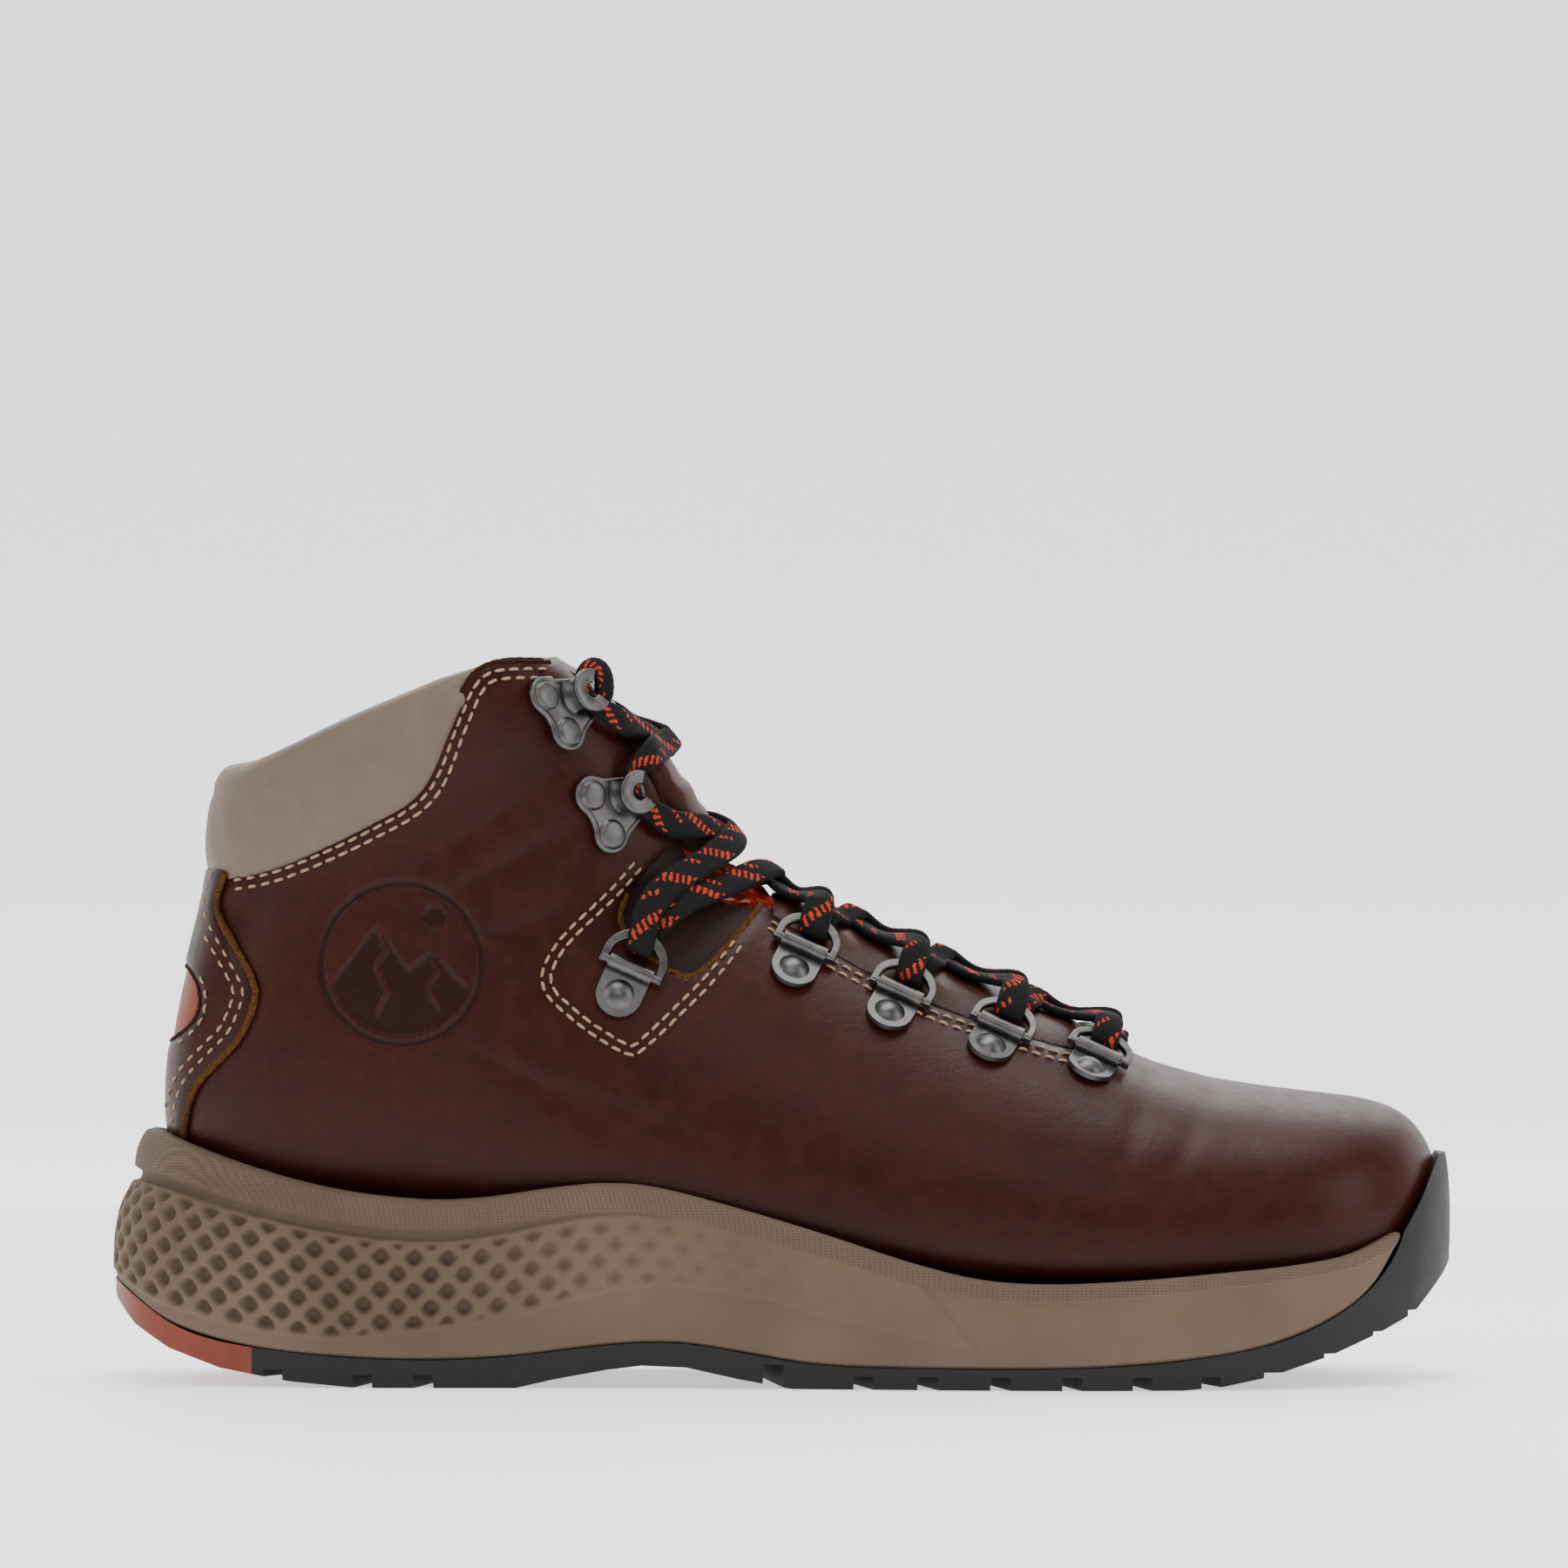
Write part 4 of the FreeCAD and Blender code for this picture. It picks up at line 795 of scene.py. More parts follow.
def rolled_pad(name, around, low, top, outer, thick, slot, materials, down):
    """A pad whose section runs up its outer face, over a round top and down its inner face."""
    radius = thick / 2
    crest, skin = top - radius, outer(1.0, around)
    rows = [(low + (crest - low) * s, outer(s, around)) for s in np.linspace(0, 1, PAD_FACE)]
    rows += [(crest + radius * math.sin(turn), skin - radius * (1 - math.cos(turn)))
             for turn in np.linspace(0, math.pi, PAD_ROLL + 2)[1:-1]]
    rows += [(down + (crest - down) * s, skin - thick) for s in np.linspace(1, 0, PAD_BACK)]
    points = []
    for u, height in rows:
        place, normal = last_frames(u, around)
        points.append(place + normal * height[:, None])
    count = len(around)
    index = np.arange(len(rows) * count).reshape(len(rows), count)
    faces = [tuple(f) for f in grid_quads(len(rows), count)]
    faces += [(index[-1, i], index[-1, i + 1], index[0, i + 1], index[0, i]) for i in range(count - 1)]
    faces += [tuple(index[:, 0]), tuple(index[::-1, -1])]
    piece = make_piece(name, np.vstack(points), faces, slot, materials)
    second = np.ones(len(faces), int)
    second[:(PAD_FACE + PAD_ROLL + 3) * (count - 1)] = 0
    piece.data.polygons.foreach_set("material_index", second.tolist())
    return piece


def build_collar():
    """The padded grey collar. In front it continues inside the quarters as a narrow roll."""
    half_throat, heel_x, narrow_depth, lining_depth, bare_height = 19.6, -90.0, 9.0, 34.0, 9.0
    around = np.concatenate([np.arange(20, 180, 1.5), np.arange(180, 341, 1.5)])
    top, edge = (crossing(around, lambda p: below(line, p), LAST_END * 0.5)
                 for line in (TOP_LINE, COLLAR_EDGE))
    ends = last_frames(top, around)[0]
    keep = (np.abs(ends[:, 1] - WEDGE_MIDDLE) > half_throat) | (ends[:, 0] < heel_x)
    around, top, edge = around[keep], top[keep], edge[keep]
    bare = smooth_step(top - edge, 0, bare_height)
    low = np.minimum(edge - 2.0, top - narrow_depth)

    def outer(s, _):
        swell = 1.9 * math.sin(math.pi * min(s * 1.02, 1.0)) ** 0.7 - 0.9 * (1 - s) ** 6
        wrinkle = 0.12 * np.sin(around * 0.35 + 5 * s) * math.sin(math.pi * s)
        return bare * (swell + wrinkle) - (1 - bare) * 2.3

    piece = rolled_pad("collar_padding", around, low, top + 0.6 * bare, outer, 6.0 + 5.0 * bare,
                       "grey_leather", (GREY, LINING), np.minimum(low, top - lining_depth))
    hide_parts("collar_pad")


def build_tongue():
    """The padded tongue, crowned between the quarters, with a grey lining rolled over its top."""
    top_z, foot_z = 168.0, 118.5
    around = np.linspace(-52, 52, 79)
    top = crossing(around, lambda p: top_z - 0.012 * (p[:, 1] - WEDGE_MIDDLE) ** 2
                   + 0.05 * (p[:, 0] + 50) - p[:, 2], LAST_END * 0.5)
    foot = crossing(around, lambda p: foot_z + 0.35 * np.abs(p[:, 1]) - p[:, 2], LAST_END * 0.3)

    def outer(s, angles):
        u = foot + (top - 3.2 - foot) * s
        place = last_frames(u, angles)[0]
        inside = wedge_distance(np.where(place[:, [0]] < -69, place + (8, 0, 0), place)) - 0.4
        covered = np.clip(1.0 - (inside + 1.0) / 4.0, 0, 1)
        crown = 1.0 + 1.1 * math.sin(math.pi * min(s * 1.4, 1.0)) - 2.4 * max(s - 0.86, 0) / 0.14
        sides = 1 - (place[:, 1] / 40.0) ** 2
        tuck = -3.0 * max(0.12 - s, 0) / 0.12
        pucker = 0.35 * np.sin(u * 0.55) * (1 - covered)
        return (crown * sides + tuck + pucker) * (1 - covered) - 5.4 * covered

    piece = rolled_pad("tongue_padding", around, foot, top, outer, 6.4, "brown_leather",
                       (BROWN_SOFT, GREY), foot)
    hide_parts("tongue")


def build_instep():
    """Padded leather over the instep, swelling between the crossings of the lace."""
    def height(p):
        nearest = np.min(np.abs(p[:, 0][:, None] - np.array(SWELL_EDGES)), axis=1)
        edge = np.clip(within(THROAT, p) / 4.0, 0, 1)
        return (0.35 + 1.3 * smooth_step(nearest, 0, 9.0)) * edge - 0.5 * (1 - edge)

    def keep(p):
        rear = p[:, 0] + 3.6 - 0.16 * (p[:, 2] - 106)
        return np.minimum(np.where(p[:, 2] > 60, within(THROAT, p) - 0.15, -9.0), rear)

    u0, u1, a0, a1 = span_of(keep)
    piece = sheet_piece("instep_padding", np.arange(u0, u1, 1.1), np.arange(a0, a1, 1.3), height, keep,
                        "brown_leather", BROWN_SOFT, 4.0,
                        # painted shade: darker along the throat edge
                        lambda p: np.clip(0.5 - within(THROAT, p) / 3.0, 0, 0.5))
    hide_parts("instep_pad")


def build_gusset():
    """The orange knit between the tongue and the instep, loosely gathered."""
    def height(p):
        beside = np.abs(p[:, 1] - WEDGE_MIDDLE)
        fold = 0.55 * np.sin(p[:, 0] * 1.1 + 0.35 * p[:, 1]) + 0.3 * np.sin(p[:, 1] * 0.8)
        return np.interp(beside, [7, 15], [-1.3, -3.4]) + fold * np.interp(beside, [8, 16], [1, 0.2])

    def keep(p):
        return np.minimum(within(GUSSET_ZONE, p), p[:, 2] - 88.0)

    u0, u1, a0, a1 = span_of(keep)
    piece = sheet_piece("gusset_knit", np.arange(u0, u1, 0.8), np.arange(a0, a1, 1.0), height, keep,
                        "orange_knit", KNIT, 0.9)
    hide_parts("tongue_gusset")


def build_lining():
    """The foam-backed lining inside the leather, and the footbed on the bottom."""
    piece = sheet_piece("lining_textile", np.arange(0, LAST_END, 2.4), np.arange(-180, 180.1, 3.0),
                        lambda p: -3.1 + 0.12 * np.sin(p[:, 0] * 0.9) * np.sin(p[:, 2] * 0.9),
                        lambda p: np.minimum(below(TOP_LINE, p) - 9.0, -throat_distance(p)),
                        "lining_textile", LINING, 1.0)
    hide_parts("lining")

    rim = 9.6
    bottom = LAST[:-5, :2]
    bottom = bottom[np.argsort(bottom[:, 0])]
    points, normals, quads = last_grid(np.arange(6, LAST_END * 0.75, 1.8), np.arange(100, 260.1, 1.8), -4.4)
    rise = -below(bottom, points)
    columns, faces = clip(np.hstack([points, normals, rise[:, None]]), quads, rim - rise)
    thickness = np.interp(columns[:, 6], [4.0, rim], [5.0, 1.2])[:, None]
    points, faces = thick_sheet(columns[:, :3], columns[:, 3:6], faces, thickness)
    piece = make_piece("footbed_cushion", points, faces, "eva_foam", [LINING])
    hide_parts("footbed")


# ---------------------------------------------------------------- the midsole
# x, outer half width and inner half width of the sole unit
SOLE_PLAN = np.array([
    (-149.0, 16.0, 16.5), (-141.0, 26.0, 26.5), (-128.0, 34.0, 34.0), (-110.0, 39.4, 39.2),
    (-85.0, 41.6, 40.8), (-50.0, 41.8, 39.4), (-15.0, 43.6, 40.2), (20.0, 47.8, 44.2),
    (48.0, 51.6, 48.6), (70.0, 52.8, 51.6), (90.0, 51.4, 52.4), (110.0, 46.6, 49.8),
    (127.0, 38.4, 43.8), (139.5, 27.8, 36.0), (148.5, 14.2, 24.8),
])
SOLE_BACK_Y, SOLE_FRONT_Y = 0.5, 6.5
# height, rear end, front end and change of half width of each level slice
SOLE_SLICES = np.array([
    (-1.0, -151.6, 151.2, -2.6), (8.0, -152.6, 151.8, -1.0), (18.0, -153.3, 152.6, 0.2),
    (28.0, -153.4, 153.1, 0.6), (36.0, -152.7, 153.3, 0.2), (42.4, -150.6, 153.2, -0.9),
    (46.8, -148.4, 152.9, -2.2), (52.0, -147.6, 152.2, -3.2), (60.0, -143.0, 150.4, -5.2),
])
MIDSOLE_BOTTOM = smooth_path([
    (-158.0, 25.0), (-153.3, 23.0), (-140.3, 14.4), (-120.3, 9.0), (-100.3, 7.0), (-80.3, 6.4),
    (-60.3, 7.4), (-44.3, 9.4), (-32.3, 10.4), (-22.3, 10.2), (-10.3, 8.4), (5.7, 5.8),
    (19.7, 5.0), (39.7, 4.8), (69.7, 5.2), (95.7, 7.4), (109.7, 10.0), (123.7, 15.4),
    (133.7, 22.6), (141.3, 34.8),
])
SOLE_TURNS = 2 * len(SOLE_PLAN) + 2         # one full way round the sole's outline


def sole_points(turn, z):
    """Points of the sole's outline. Turn 0 is the back of the heel, and it runs along the outer
    side to the toe and back along the inner side."""
    _, rear_ref, front_ref, _ = SOLE_SLICES[3]
    share = (SOLE_PLAN[:, 0] - rear_ref) / (front_ref - rear_ref)
    ones = np.ones(len(SOLE_PLAN))
    ring = np.stack([np.concatenate([[0.0], share, [1.0], share[::-1]]),
                     np.concatenate([[SOLE_BACK_Y], -SOLE_PLAN[:, 1], [SOLE_FRONT_Y],
                                     SOLE_PLAN[::-1, 2]]),
                     np.concatenate([[0.0], -ones, [0.0], ones])], axis=1)
    wrap = 8
    knots_at = np.arange(-wrap, SOLE_TURNS + wrap, dtype=float)
    wrapped = ring[np.mod(knots_at.astype(int), SOLE_TURNS)]
    values = natural_spline(knots_at, wrapped, np.mod(np.ravel(turn), SOLE_TURNS))
    rear, front, change = natural_spline(SOLE_SLICES[:, 0], SOLE_SLICES[:, 1:], np.ravel(z)).T
    x = rear + values[:, 0] * (front - rear)
    y = values[:, 1] + values[:, 2] * change
    return np.stack([x, y, np.ravel(z)], axis=1)


# x, height of the woven rim, of the hollow under it, and of the plain band at the bottom
MIDSOLE_BANDS = np.array([
    (-153, 9.6, 2.6, 2.2), (-135, 8.6, 2.6, 4.4), (-119, 7.7, 2.5, 4.0), (-100, 7.2, 2.4, 4.2),
    (-75, 6.8, 2.2, 7.6), (-60, 6.4, 1.9, 9.5), (-40, 6.0, 1.2, 12.4), (-20, 5.7, 0.4, 13.4),
    (0, 5.1, 0.1, 13.2), (20, 4.6, 0.1, 9.4), (36, 4.2, 0.1, 6.1), (46, 4.0, 0.1, 4.0),
    (141, 2.4, 0.1, 2.0),
])
POCKET_PITCH = (7.6, 7.5)       # along the sole and up it


def midsole_relief(x, z, distance):
    """Height of the midsole's surface detail, and how much of it is rim, painted shade in the hollows, and
    smooth.
    """
    under = height_of(FEATHER, x) - z
    above = z - height_of(MIDSOLE_BOTTOM, x)
    rim, recess, low = (np.interp(x, MIDSOLE_BANDS[:, 0], MIDSOLE_BANDS[:, k]) for k in (1, 2, 3))
    in_rim = 1 - smooth_step(under, rim - 0.35, rim + 0.35)
    depth_of_recess = 1.5 * np.clip(recess / 2.4, 0, 1)
    foot = rim + recess
    in_recess = smooth_step(under, rim - 0.3, rim + 0.7) * (1 - smooth_step(under, foot - 0.5, foot + 0.9))
    end = x - (30.0 + (24.4 - z) * 0.93)
    band = smooth_step(above, low - 0.4, low + 0.4) * (1 - in_rim) * (1 - smooth_step(end, -0.5, 0.7))
    middle = (height_of(FEATHER, x) + height_of(MIDSOLE_BOTTOM, x)) / 2
    level = z - 0.9 * middle
    p = distance / POCKET_PITCH[0] + level / POCKET_PITCH[1]
    q = distance / POCKET_PITCH[0] - level / POCKET_PITCH[1]
    away = (np.abs(p - np.round(p)) ** 3.5 + np.abs(q - np.round(q)) ** 3.5) ** (1 / 3.5)
    soft = np.interp(x, [-80, -30], [0.0, 1.0])
    pocket = (1 - smooth_step(away, 0.20, 0.40)) * (1 - soft) + (1 - smooth_step(away, 0.0, 0.46)) * soft
    depth = np.interp(x, [-80, -45, -20, 5, 32], [1.9, 1.15, 0.65, 0.28, 0.0])
    inside_band = smooth_step(above, low + 0.2, low + 2.2) * smooth_step(under, foot, foot + 2.2)
    pockets = pocket * depth * band * inside_band
    flare = np.interp(x, [-153, -120, -60, 141], [1.3, 1.0, 0.7, 0.25])
    round_top = 0.9 * np.clip(1 - under / 1.3, 0, 1) ** 2
    gap = 0.5 * (1 - smooth_step(above, 0.2, 0.9))
    height = (in_rim * (flare - round_top) - in_recess * depth_of_recess + 0.75 * band - pockets - gap
              - 0.1)
    # painted shade: darker in the pockets and in the deep recess under the rim
    hollow_shade = np.clip(pockets / 2.2 + 0.5 * in_recess * (recess > 0.6), 0, 1)
    return height, in_rim, hollow_shade, band * (1 - in_recess)


def build_midsole():
    """The foam midsole, a relief on the side of the sole's outline that ends under the toe."""
    bumper_x, bumper_z, middle_z = 140.9, 34.8, 28.0
    half = 1200
    sample = np.linspace(0, SOLE_TURNS, 2 * half)
    behind = sole_points(sample, np.full(len(sample), bumper_z))[:, 0] <= bumper_x
    outer_end = sample[:half][behind[:half]].max()
    inner_end = sample[half:][behind[half:]].min()
    rough = np.linspace(inner_end, SOLE_TURNS + outer_end, 3000)
    reach = reach_along(sole_points(rough, np.full(len(rough), middle_z)))
    places = np.linspace(0, reach[-1], 760)
    turn = np.interp(places, reach, rough)
    rows = np.linspace(0, 1, 84)

    def on_rows(values):
        return np.tile(values, (len(rows), 1))

    distance = on_rows(np.abs(places - np.interp(SOLE_TURNS, rough, reach)))
    x = on_rows(sole_points(turn, np.full(len(turn), middle_z))[:, 0])
    for _ in range(2):
        low, high = height_of(MIDSOLE_BOTTOM, x), height_of(FEATHER, x)
        z = low + (high - low) * rows[:, None]
        points = sole_points(on_rows(turn), z).reshape(*z.shape, 3)
        x = points[..., 0]
    normals = grid_normals(points)
    height, rim, hollow_shade, smooth = midsole_relief(x, points[..., 2], distance)
    raised = points + normals * height[..., None]
    inward = normals * (1, 1, 0)
    lips = [raised[0] - inward[0] * 6.0, raised[0] - inward[0] * 1.0]
    tops = [raised[-1] - inward[-1] * 1.0 + (0, 0, 0.25), raised[-1] - inward[-1] * 2.6 + (0, 0, 0.1),
            raised[-1] - inward[-1] * 5.0 - (0, 0, 2.0)]
    surface = np.stack([*lips, *raised, *tops])
    layers = {name: np.vstack([values[:1]] * len(lips) + [values] + [values[-1:]] * len(tops)).ravel()
              for name, values in (("rim", rim), ("hollow_shade", hollow_shade), ("smooth", smooth))}
    piece = make_piece("midsole_foam", surface.reshape(-1, 3), grid_quads(*surface.shape[:2]), "eva_foam",
                       [FOAM], layers=layers)
    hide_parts("midsole")


# ---------------------------------------------------------------- seams
def last_tree():
    """The last's surface, for finding its width at places seen from the side."""
    points, _, quads = last_grid(np.arange(0, LAST_END, 1.5), np.arange(-180, 180.1, 1.5))
    return BVHTree.FromPolygons([tuple(p) for p in points], [tuple(map(int, q)) for q in quads])


SURFACE = last_tree()


FAR_Y = 120.0       # well clear of the boot


def on_surface(x, z, side, height=0.0):
    """The place on the upper at a side-view point, raised by a height, and the normal there."""
    place, normal, _, _ = SURFACE.ray_cast(Vector((x, side * FAR_Y, z)), Vector((0.0, -side, 0.0)))
    if place is None:
        return None, None
    if normal.y * side < 0:
        normal = -normal
    return np.array(place) + np.array(normal) * height, np.array(normal)


def resampled(path, step):
    """A path seen from the side, at even steps."""
    path = np.asarray(path, float)
    reach = reach_along(path)
    at = np.linspace(0, reach[-1], max(int(reach[-1] / step), 2))
    return np.stack([np.interp(at, reach, path[:, k]) for k in (0, 1)], axis=1)


# share of the length, share of the radius and lift of each ring of a stitch
STITCH = np.array([(-0.5, 0.35, -0.34), (-0.40, 0.85, -0.04), (-0.15, 1.0, 0.16), (0.15, 1.0, 0.16),
                   (0.40, 0.85, -0.04), (0.5, 0.35, -0.34)])
STITCH_LENGTH, STITCH_RADIUS, STITCH_SIDES = 2.45, 0.37, 6


def stitch(middle, along, normal, length):
    """One stitch of thick thread, its ends dipping into the leather."""
    angle = np.linspace(0, 2 * math.pi, STITCH_SIDES, endpoint=False)[:, None]
    around = np.cross(along, normal) * np.cos(angle) + normal * np.sin(angle) * 0.85
    centres = middle + along * STITCH[:, :1] * length + normal * STITCH[:, 2:]
    points = centres[:, None] + around * (STITCH_RADIUS * STITCH[:, 1])[:, None, None]
    return points.reshape(-1, 3), ring_solid(len(STITCH), STITCH_SIDES)


def stitch_row(path, side, height=0.12, pitch=3.1, offset=0.0):
    """A row of stitches along a side-view path, on the upper's surface."""
    path = offset_path(np.asarray(path, float), offset) if offset else path
    places = [on_surface(x, z, side, height) for x, z in resampled(path, pitch / 2)]
    found = []
    for (before, _), (here, normal), (after, _) in zip(places[::2], places[1::2], places[2::2]):
        if here is None or before is None or after is None:
            continue
        run = after - before
        size = np.linalg.norm(run)
        if 0.1 <= size <= pitch * 2.2:
            jitter = rng.normal(0, 0.035, 2)
            run = run / size + np.cross(run / size, normal) * jitter[0]
            found.append(stitch(here, unit(run), normal, STITCH_LENGTH * (1 + jitter[1])))
    return found


def surface_path(path, side, height, step=0.6, longest=6.0):
    """A path on the upper, with the normals along it. A longer step than the longest is left out."""
    places, normals = [], []
    for x, z in resampled(path, step):
        place, normal = on_surface(x, z, side, height)
        if place is not None and (not places or np.linalg.norm(place - places[-1]) < longest):
            places.append(place)
            normals.append(normal)
    return np.array(places), np.array(normals)


def bead(name, path, side, height, radius, material):
    """The raw edge of a thick leather, as a slightly fuzzy roll."""
    places, normals = surface_path(path, side, height)
    make_piece(name, *tube(places, radius, normals), "brown_leather", [material])


def build_seams():
    """Double rows of cream thread, and the raw edges that they hold down."""
    rear = COLLAR_EDGE[:, 0]
    collar = COLLAR_EDGE[(rear > -126.5) & (rear < -51.0)]
    brim = COLLAR_EDGE[(rear > -128.0) & (rear < -52.0)]
    flex, facing = smooth_path(FLEX_LINE[1:-1]), FACING[:-6]
    panel, window = HEEL_PANEL[2:-2], HEEL_WINDOW[1:-1]
    seams = ((collar, 0.12, -1.9), (collar, 0.12, -3.9), (flex, 0.12, 0.0), (flex, 0.12, 2.0),
             (facing, 0.12, -1.6), (facing, 0.12, -3.2), (panel, 1.35, -2.4), (panel, 1.5, -4.4),
             (window, 1.5, 1.6))
    edges = (("heel_panel_edge_", offset_path(panel, 0.1), 0.75, 0.82, RAW),
             ("cutout_edge_", smooth_path(U_CUT[1:-1]), -0.95, 0.85, RAW),
             ("quarter_edge_", smooth_path(QUARTER_FRONT[1:]), -1.0, 0.85, RAW_DARK),
             ("collar_edge_", brim, -0.75, 0.6, RAW_DARK),
             ("heel_window_edge_", window, 1.0, 0.55, RAW_DARK))
    for name, side in SIDES:
        rows = []
        for path, height, offset in seams:
            rows += stitch_row(path, side, height, offset=offset)
        rows += stitch_row([(-6.2, 110.6), (-11, 111.2), (-15.4, 111.8)], side, -1.6, pitch=2.9)
        make_piece("stitching_" + name, *joined(rows), "lining_textile", [THREAD])
        for label, path, height, radius, material in edges:
            bead(label + name, path, side, height, radius, material)


# ---------------------------------------------------------------- the lace
# the middle of each clip's barrel, as x and height
CLIPS = [(-35.1, 94.4), (4.2, 98.4), (26.1, 88.2), (49.0, 80.0), (71.2, 73.9)]
BARREL_SLOPE, BARREL_HEIGHT = (8.2, -3.7), 1.9
# the middles of each hook's upper cap, lower cap and washer
HOOKS = {"upper": ((-54.7, 156.8), (-50.1, 148.2), (-43.0, 157.0)),
         "lower": ((-43.9, 134.2), (-39.3, 125.2), (-32.5, 134.6))}
LACE_WIDTH, LACE_THICK, LACE_STEP, LACE_COLUMNS = 6.6, 1.8, 0.42, 17
YARN, YARN_SLANT, FLECK_REPEAT = 1.25, 1.25, 15.0


def surface_frame(x, z, side, along):
    """Origin and axes on the surface: along a direction, towards the ridge, and outwards."""
    def at(dx, dz):
        return on_surface(x + dx, z + dz, side)[0]

    normal = np.cross(at(1.5, 0) - at(-1.5, 0), at(0, 1.5) - at(0, -1.5))
    normal = unit(normal * side * np.sign(normal[1]))
    dx, dz = along[0] * 0.15, along[1] * 0.15
    run = at(dx, dz) - at(-dx, -dz)
    tangent = unit(run - normal * (run @ normal)) * (1 if side == OUTER else -1)
    return at(0, 0), np.array([tangent, np.cross(normal, tangent), normal])


def from_frame(frame, x, y, z):
    origin, axes = frame
    return origin + np.array([x, y, z]) @ axes


def clip_frame(index, side):
    return surface_frame(*CLIPS[index], side, BARREL_SLOPE)


def hook_middle(level):
    """The middle of a hook, between its two caps and its washer, as x and z."""
    first, second, washer = np.array(HOOKS[level])
    return 0.3 * (first + second) + 0.4 * washer


def hook_frame(level, side):
    return surface_frame(*hook_middle(level), side, (1.0, 0.0))


def lace_ribbon(stations, last, phase, widths=None):
    """A flat braided lace from station 1 to the last. A station is a place on the lace and the
    outward side of the lace there; those beyond the ends only steer it."""
    places, ups = (np.array([station[k] for station in stations], float) for k in (0, 1))
    reach = reach_along(places)
    at = np.linspace(reach[1], reach[last], int((reach[last] - reach[1]) / LACE_STEP))
    centre, up = natural_spline(reach, places, at), natural_spline(reach, ups, at)
    run = unit(np.gradient(centre, axis=0))
    up = unit(up - run * np.sum(run * up, axis=1, keepdims=True))
    side = np.cross(run, up)
    u = (reach_along(centre) + phase)[:, None]
    top = np.linspace(-1, 1, LACE_COLUMNS)
    across = np.concatenate([top, top[::-1][1:-1]])
    face = np.concatenate([np.ones(LACE_COLUMNS), -np.ones(LACE_COLUMNS - 2)])
    edge = np.sqrt(np.clip(1 - np.abs(across) ** 5, 0, 1))
    w = across * LACE_WIDTH / 2
    squeeze = 1 + 0.05 * np.sin(u * 0.21 + phase)
    if widths is not None:
        squeeze = squeeze * np.interp(at, reach, widths)[:, None]
    yarns = np.abs(np.cos(math.pi * (u + w * YARN_SLANT) / YARN)
                   * np.cos(math.pi * (u - w * YARN_SLANT) / YARN))
    relief = 0.17 * yarns ** 0.7 * (0.4 + 0.6 * edge)
    lift = face * (edge * LACE_THICK / 2 + relief) + 0.10 * across ** 2 * np.sin(u * 0.13 + phase)
    points = centre[:, None] + side[:, None] * (w * squeeze)[..., None] + up[:, None] * lift[..., None]
    turn = face * w * YARN_SLANT
    repeat, lane = np.mod(u - turn, FLECK_REPEAT), np.mod(u + turn, 2 * YARN)
    fleck = ((repeat < 3.6) | ((repeat > 7.0) & (repeat < 8.8) & (w > 0))) & (lane > 1.35)
    fleck = (fleck & (np.abs(across) < 0.85)).astype(float)
    return points.reshape(-1, 3), ring_solid(*points.shape[:2], flip=True), fleck.ravel()


def lace_piece(name, run, body="boot"):
    points, faces, fleck = run
    piece = make_piece(name, points, faces, "lace_cord", [LACE], body, layers={"fleck": fleck})
    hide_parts("lace")
    return piece


def turned(profile, centre, turns=40):
    """A solid of revolution from a profile of radii and heights that starts and ends on the axis."""
    angles = np.linspace(0, 2 * math.pi, turns, endpoint=False)
    points = [(centre[0] + radius * math.cos(a), centre[1] + radius * math.sin(a), height)
              for radius, height in profile[1:-1] for a in angles]
    faces = ring_solid(len(profile) - 2, turns)[:-2]
    low, top = len(points), len(points) - turns
    for k in range(turns):
        m = (k + 1) % turns
        faces += [(m, k, low), (top + k, top + m, low + 1)]
    points += [(*centre, profile[0][1]), (*centre, profile[-1][1])]
    return np.array(points, float), faces


WASHER_RADII, WASHER_LEVELS = (1.9, 5.1), (3.85, 5.1)
CAP_RADIUS, CAP_BASE = 3.2, 1.05
# inset and height of each step of a hook's plate
PLATE_STEPS = [(0.0, 0.0), (0.0, 0.75), (0.2, 1.15), (0.55, 1.3), (0.95, 1.22), (1.15, 1.08), (1.4, 1.05)]


def soft_union(distances, blend):
    """Blends distances to several shapes, with fillets where they meet."""
    total = sum(np.exp(-d / blend) for d in distances)
    return -blend * np.log(total)


def plate_outline(shape, middle, reach=14.0, count=110):
    """The outline of a shape given by distances, traced by rays from its middle."""
    angles = np.linspace(0, 2 * math.pi, count, endpoint=False)
    low, high = np.zeros(count), np.full(count, reach)
    for _ in range(40):
        radius = (low + high) / 2
        inside = shape(middle[0] + radius * np.cos(angles), middle[1] + radius * np.sin(angles)) < 0
        low, high = np.where(inside, radius, low), np.where(inside, high, radius)
    return np.stack([middle[0] + low * np.cos(angles), middle[1] + low * np.sin(angles)], axis=1)


def pressed_plate(outline, steps):
    """A plate from an outline and steps of inset and height, flat on top and underneath."""
    run = unit(np.roll(outline, -1, axis=0) - np.roll(outline, 1, axis=0))
    inward = np.stack([-run[:, 1], run[:, 0]], axis=1)
    points = np.vstack([np.column_stack([outline + inward * inset, np.full(len(outline), height)])
                        for inset, height in steps])
    return points, ring_solid(len(steps), len(outline))


def rivet_cap(x, y, radius, base):
    """A low rivet cap with a rounded edge, standing in a pressed ring."""
    profile = [(0.0, -0.4), (radius + 0.3, -0.4), (radius + 0.3, 0.12), (radius, 0.16),
               (radius - 0.02, 0.45), (radius - 0.2, 0.68), (radius - 0.6, 0.82),
               (radius * 0.5, 0.95), (0.0, 0.98)]
    return turned([(r, base + height) for r, height in profile], (x, y))


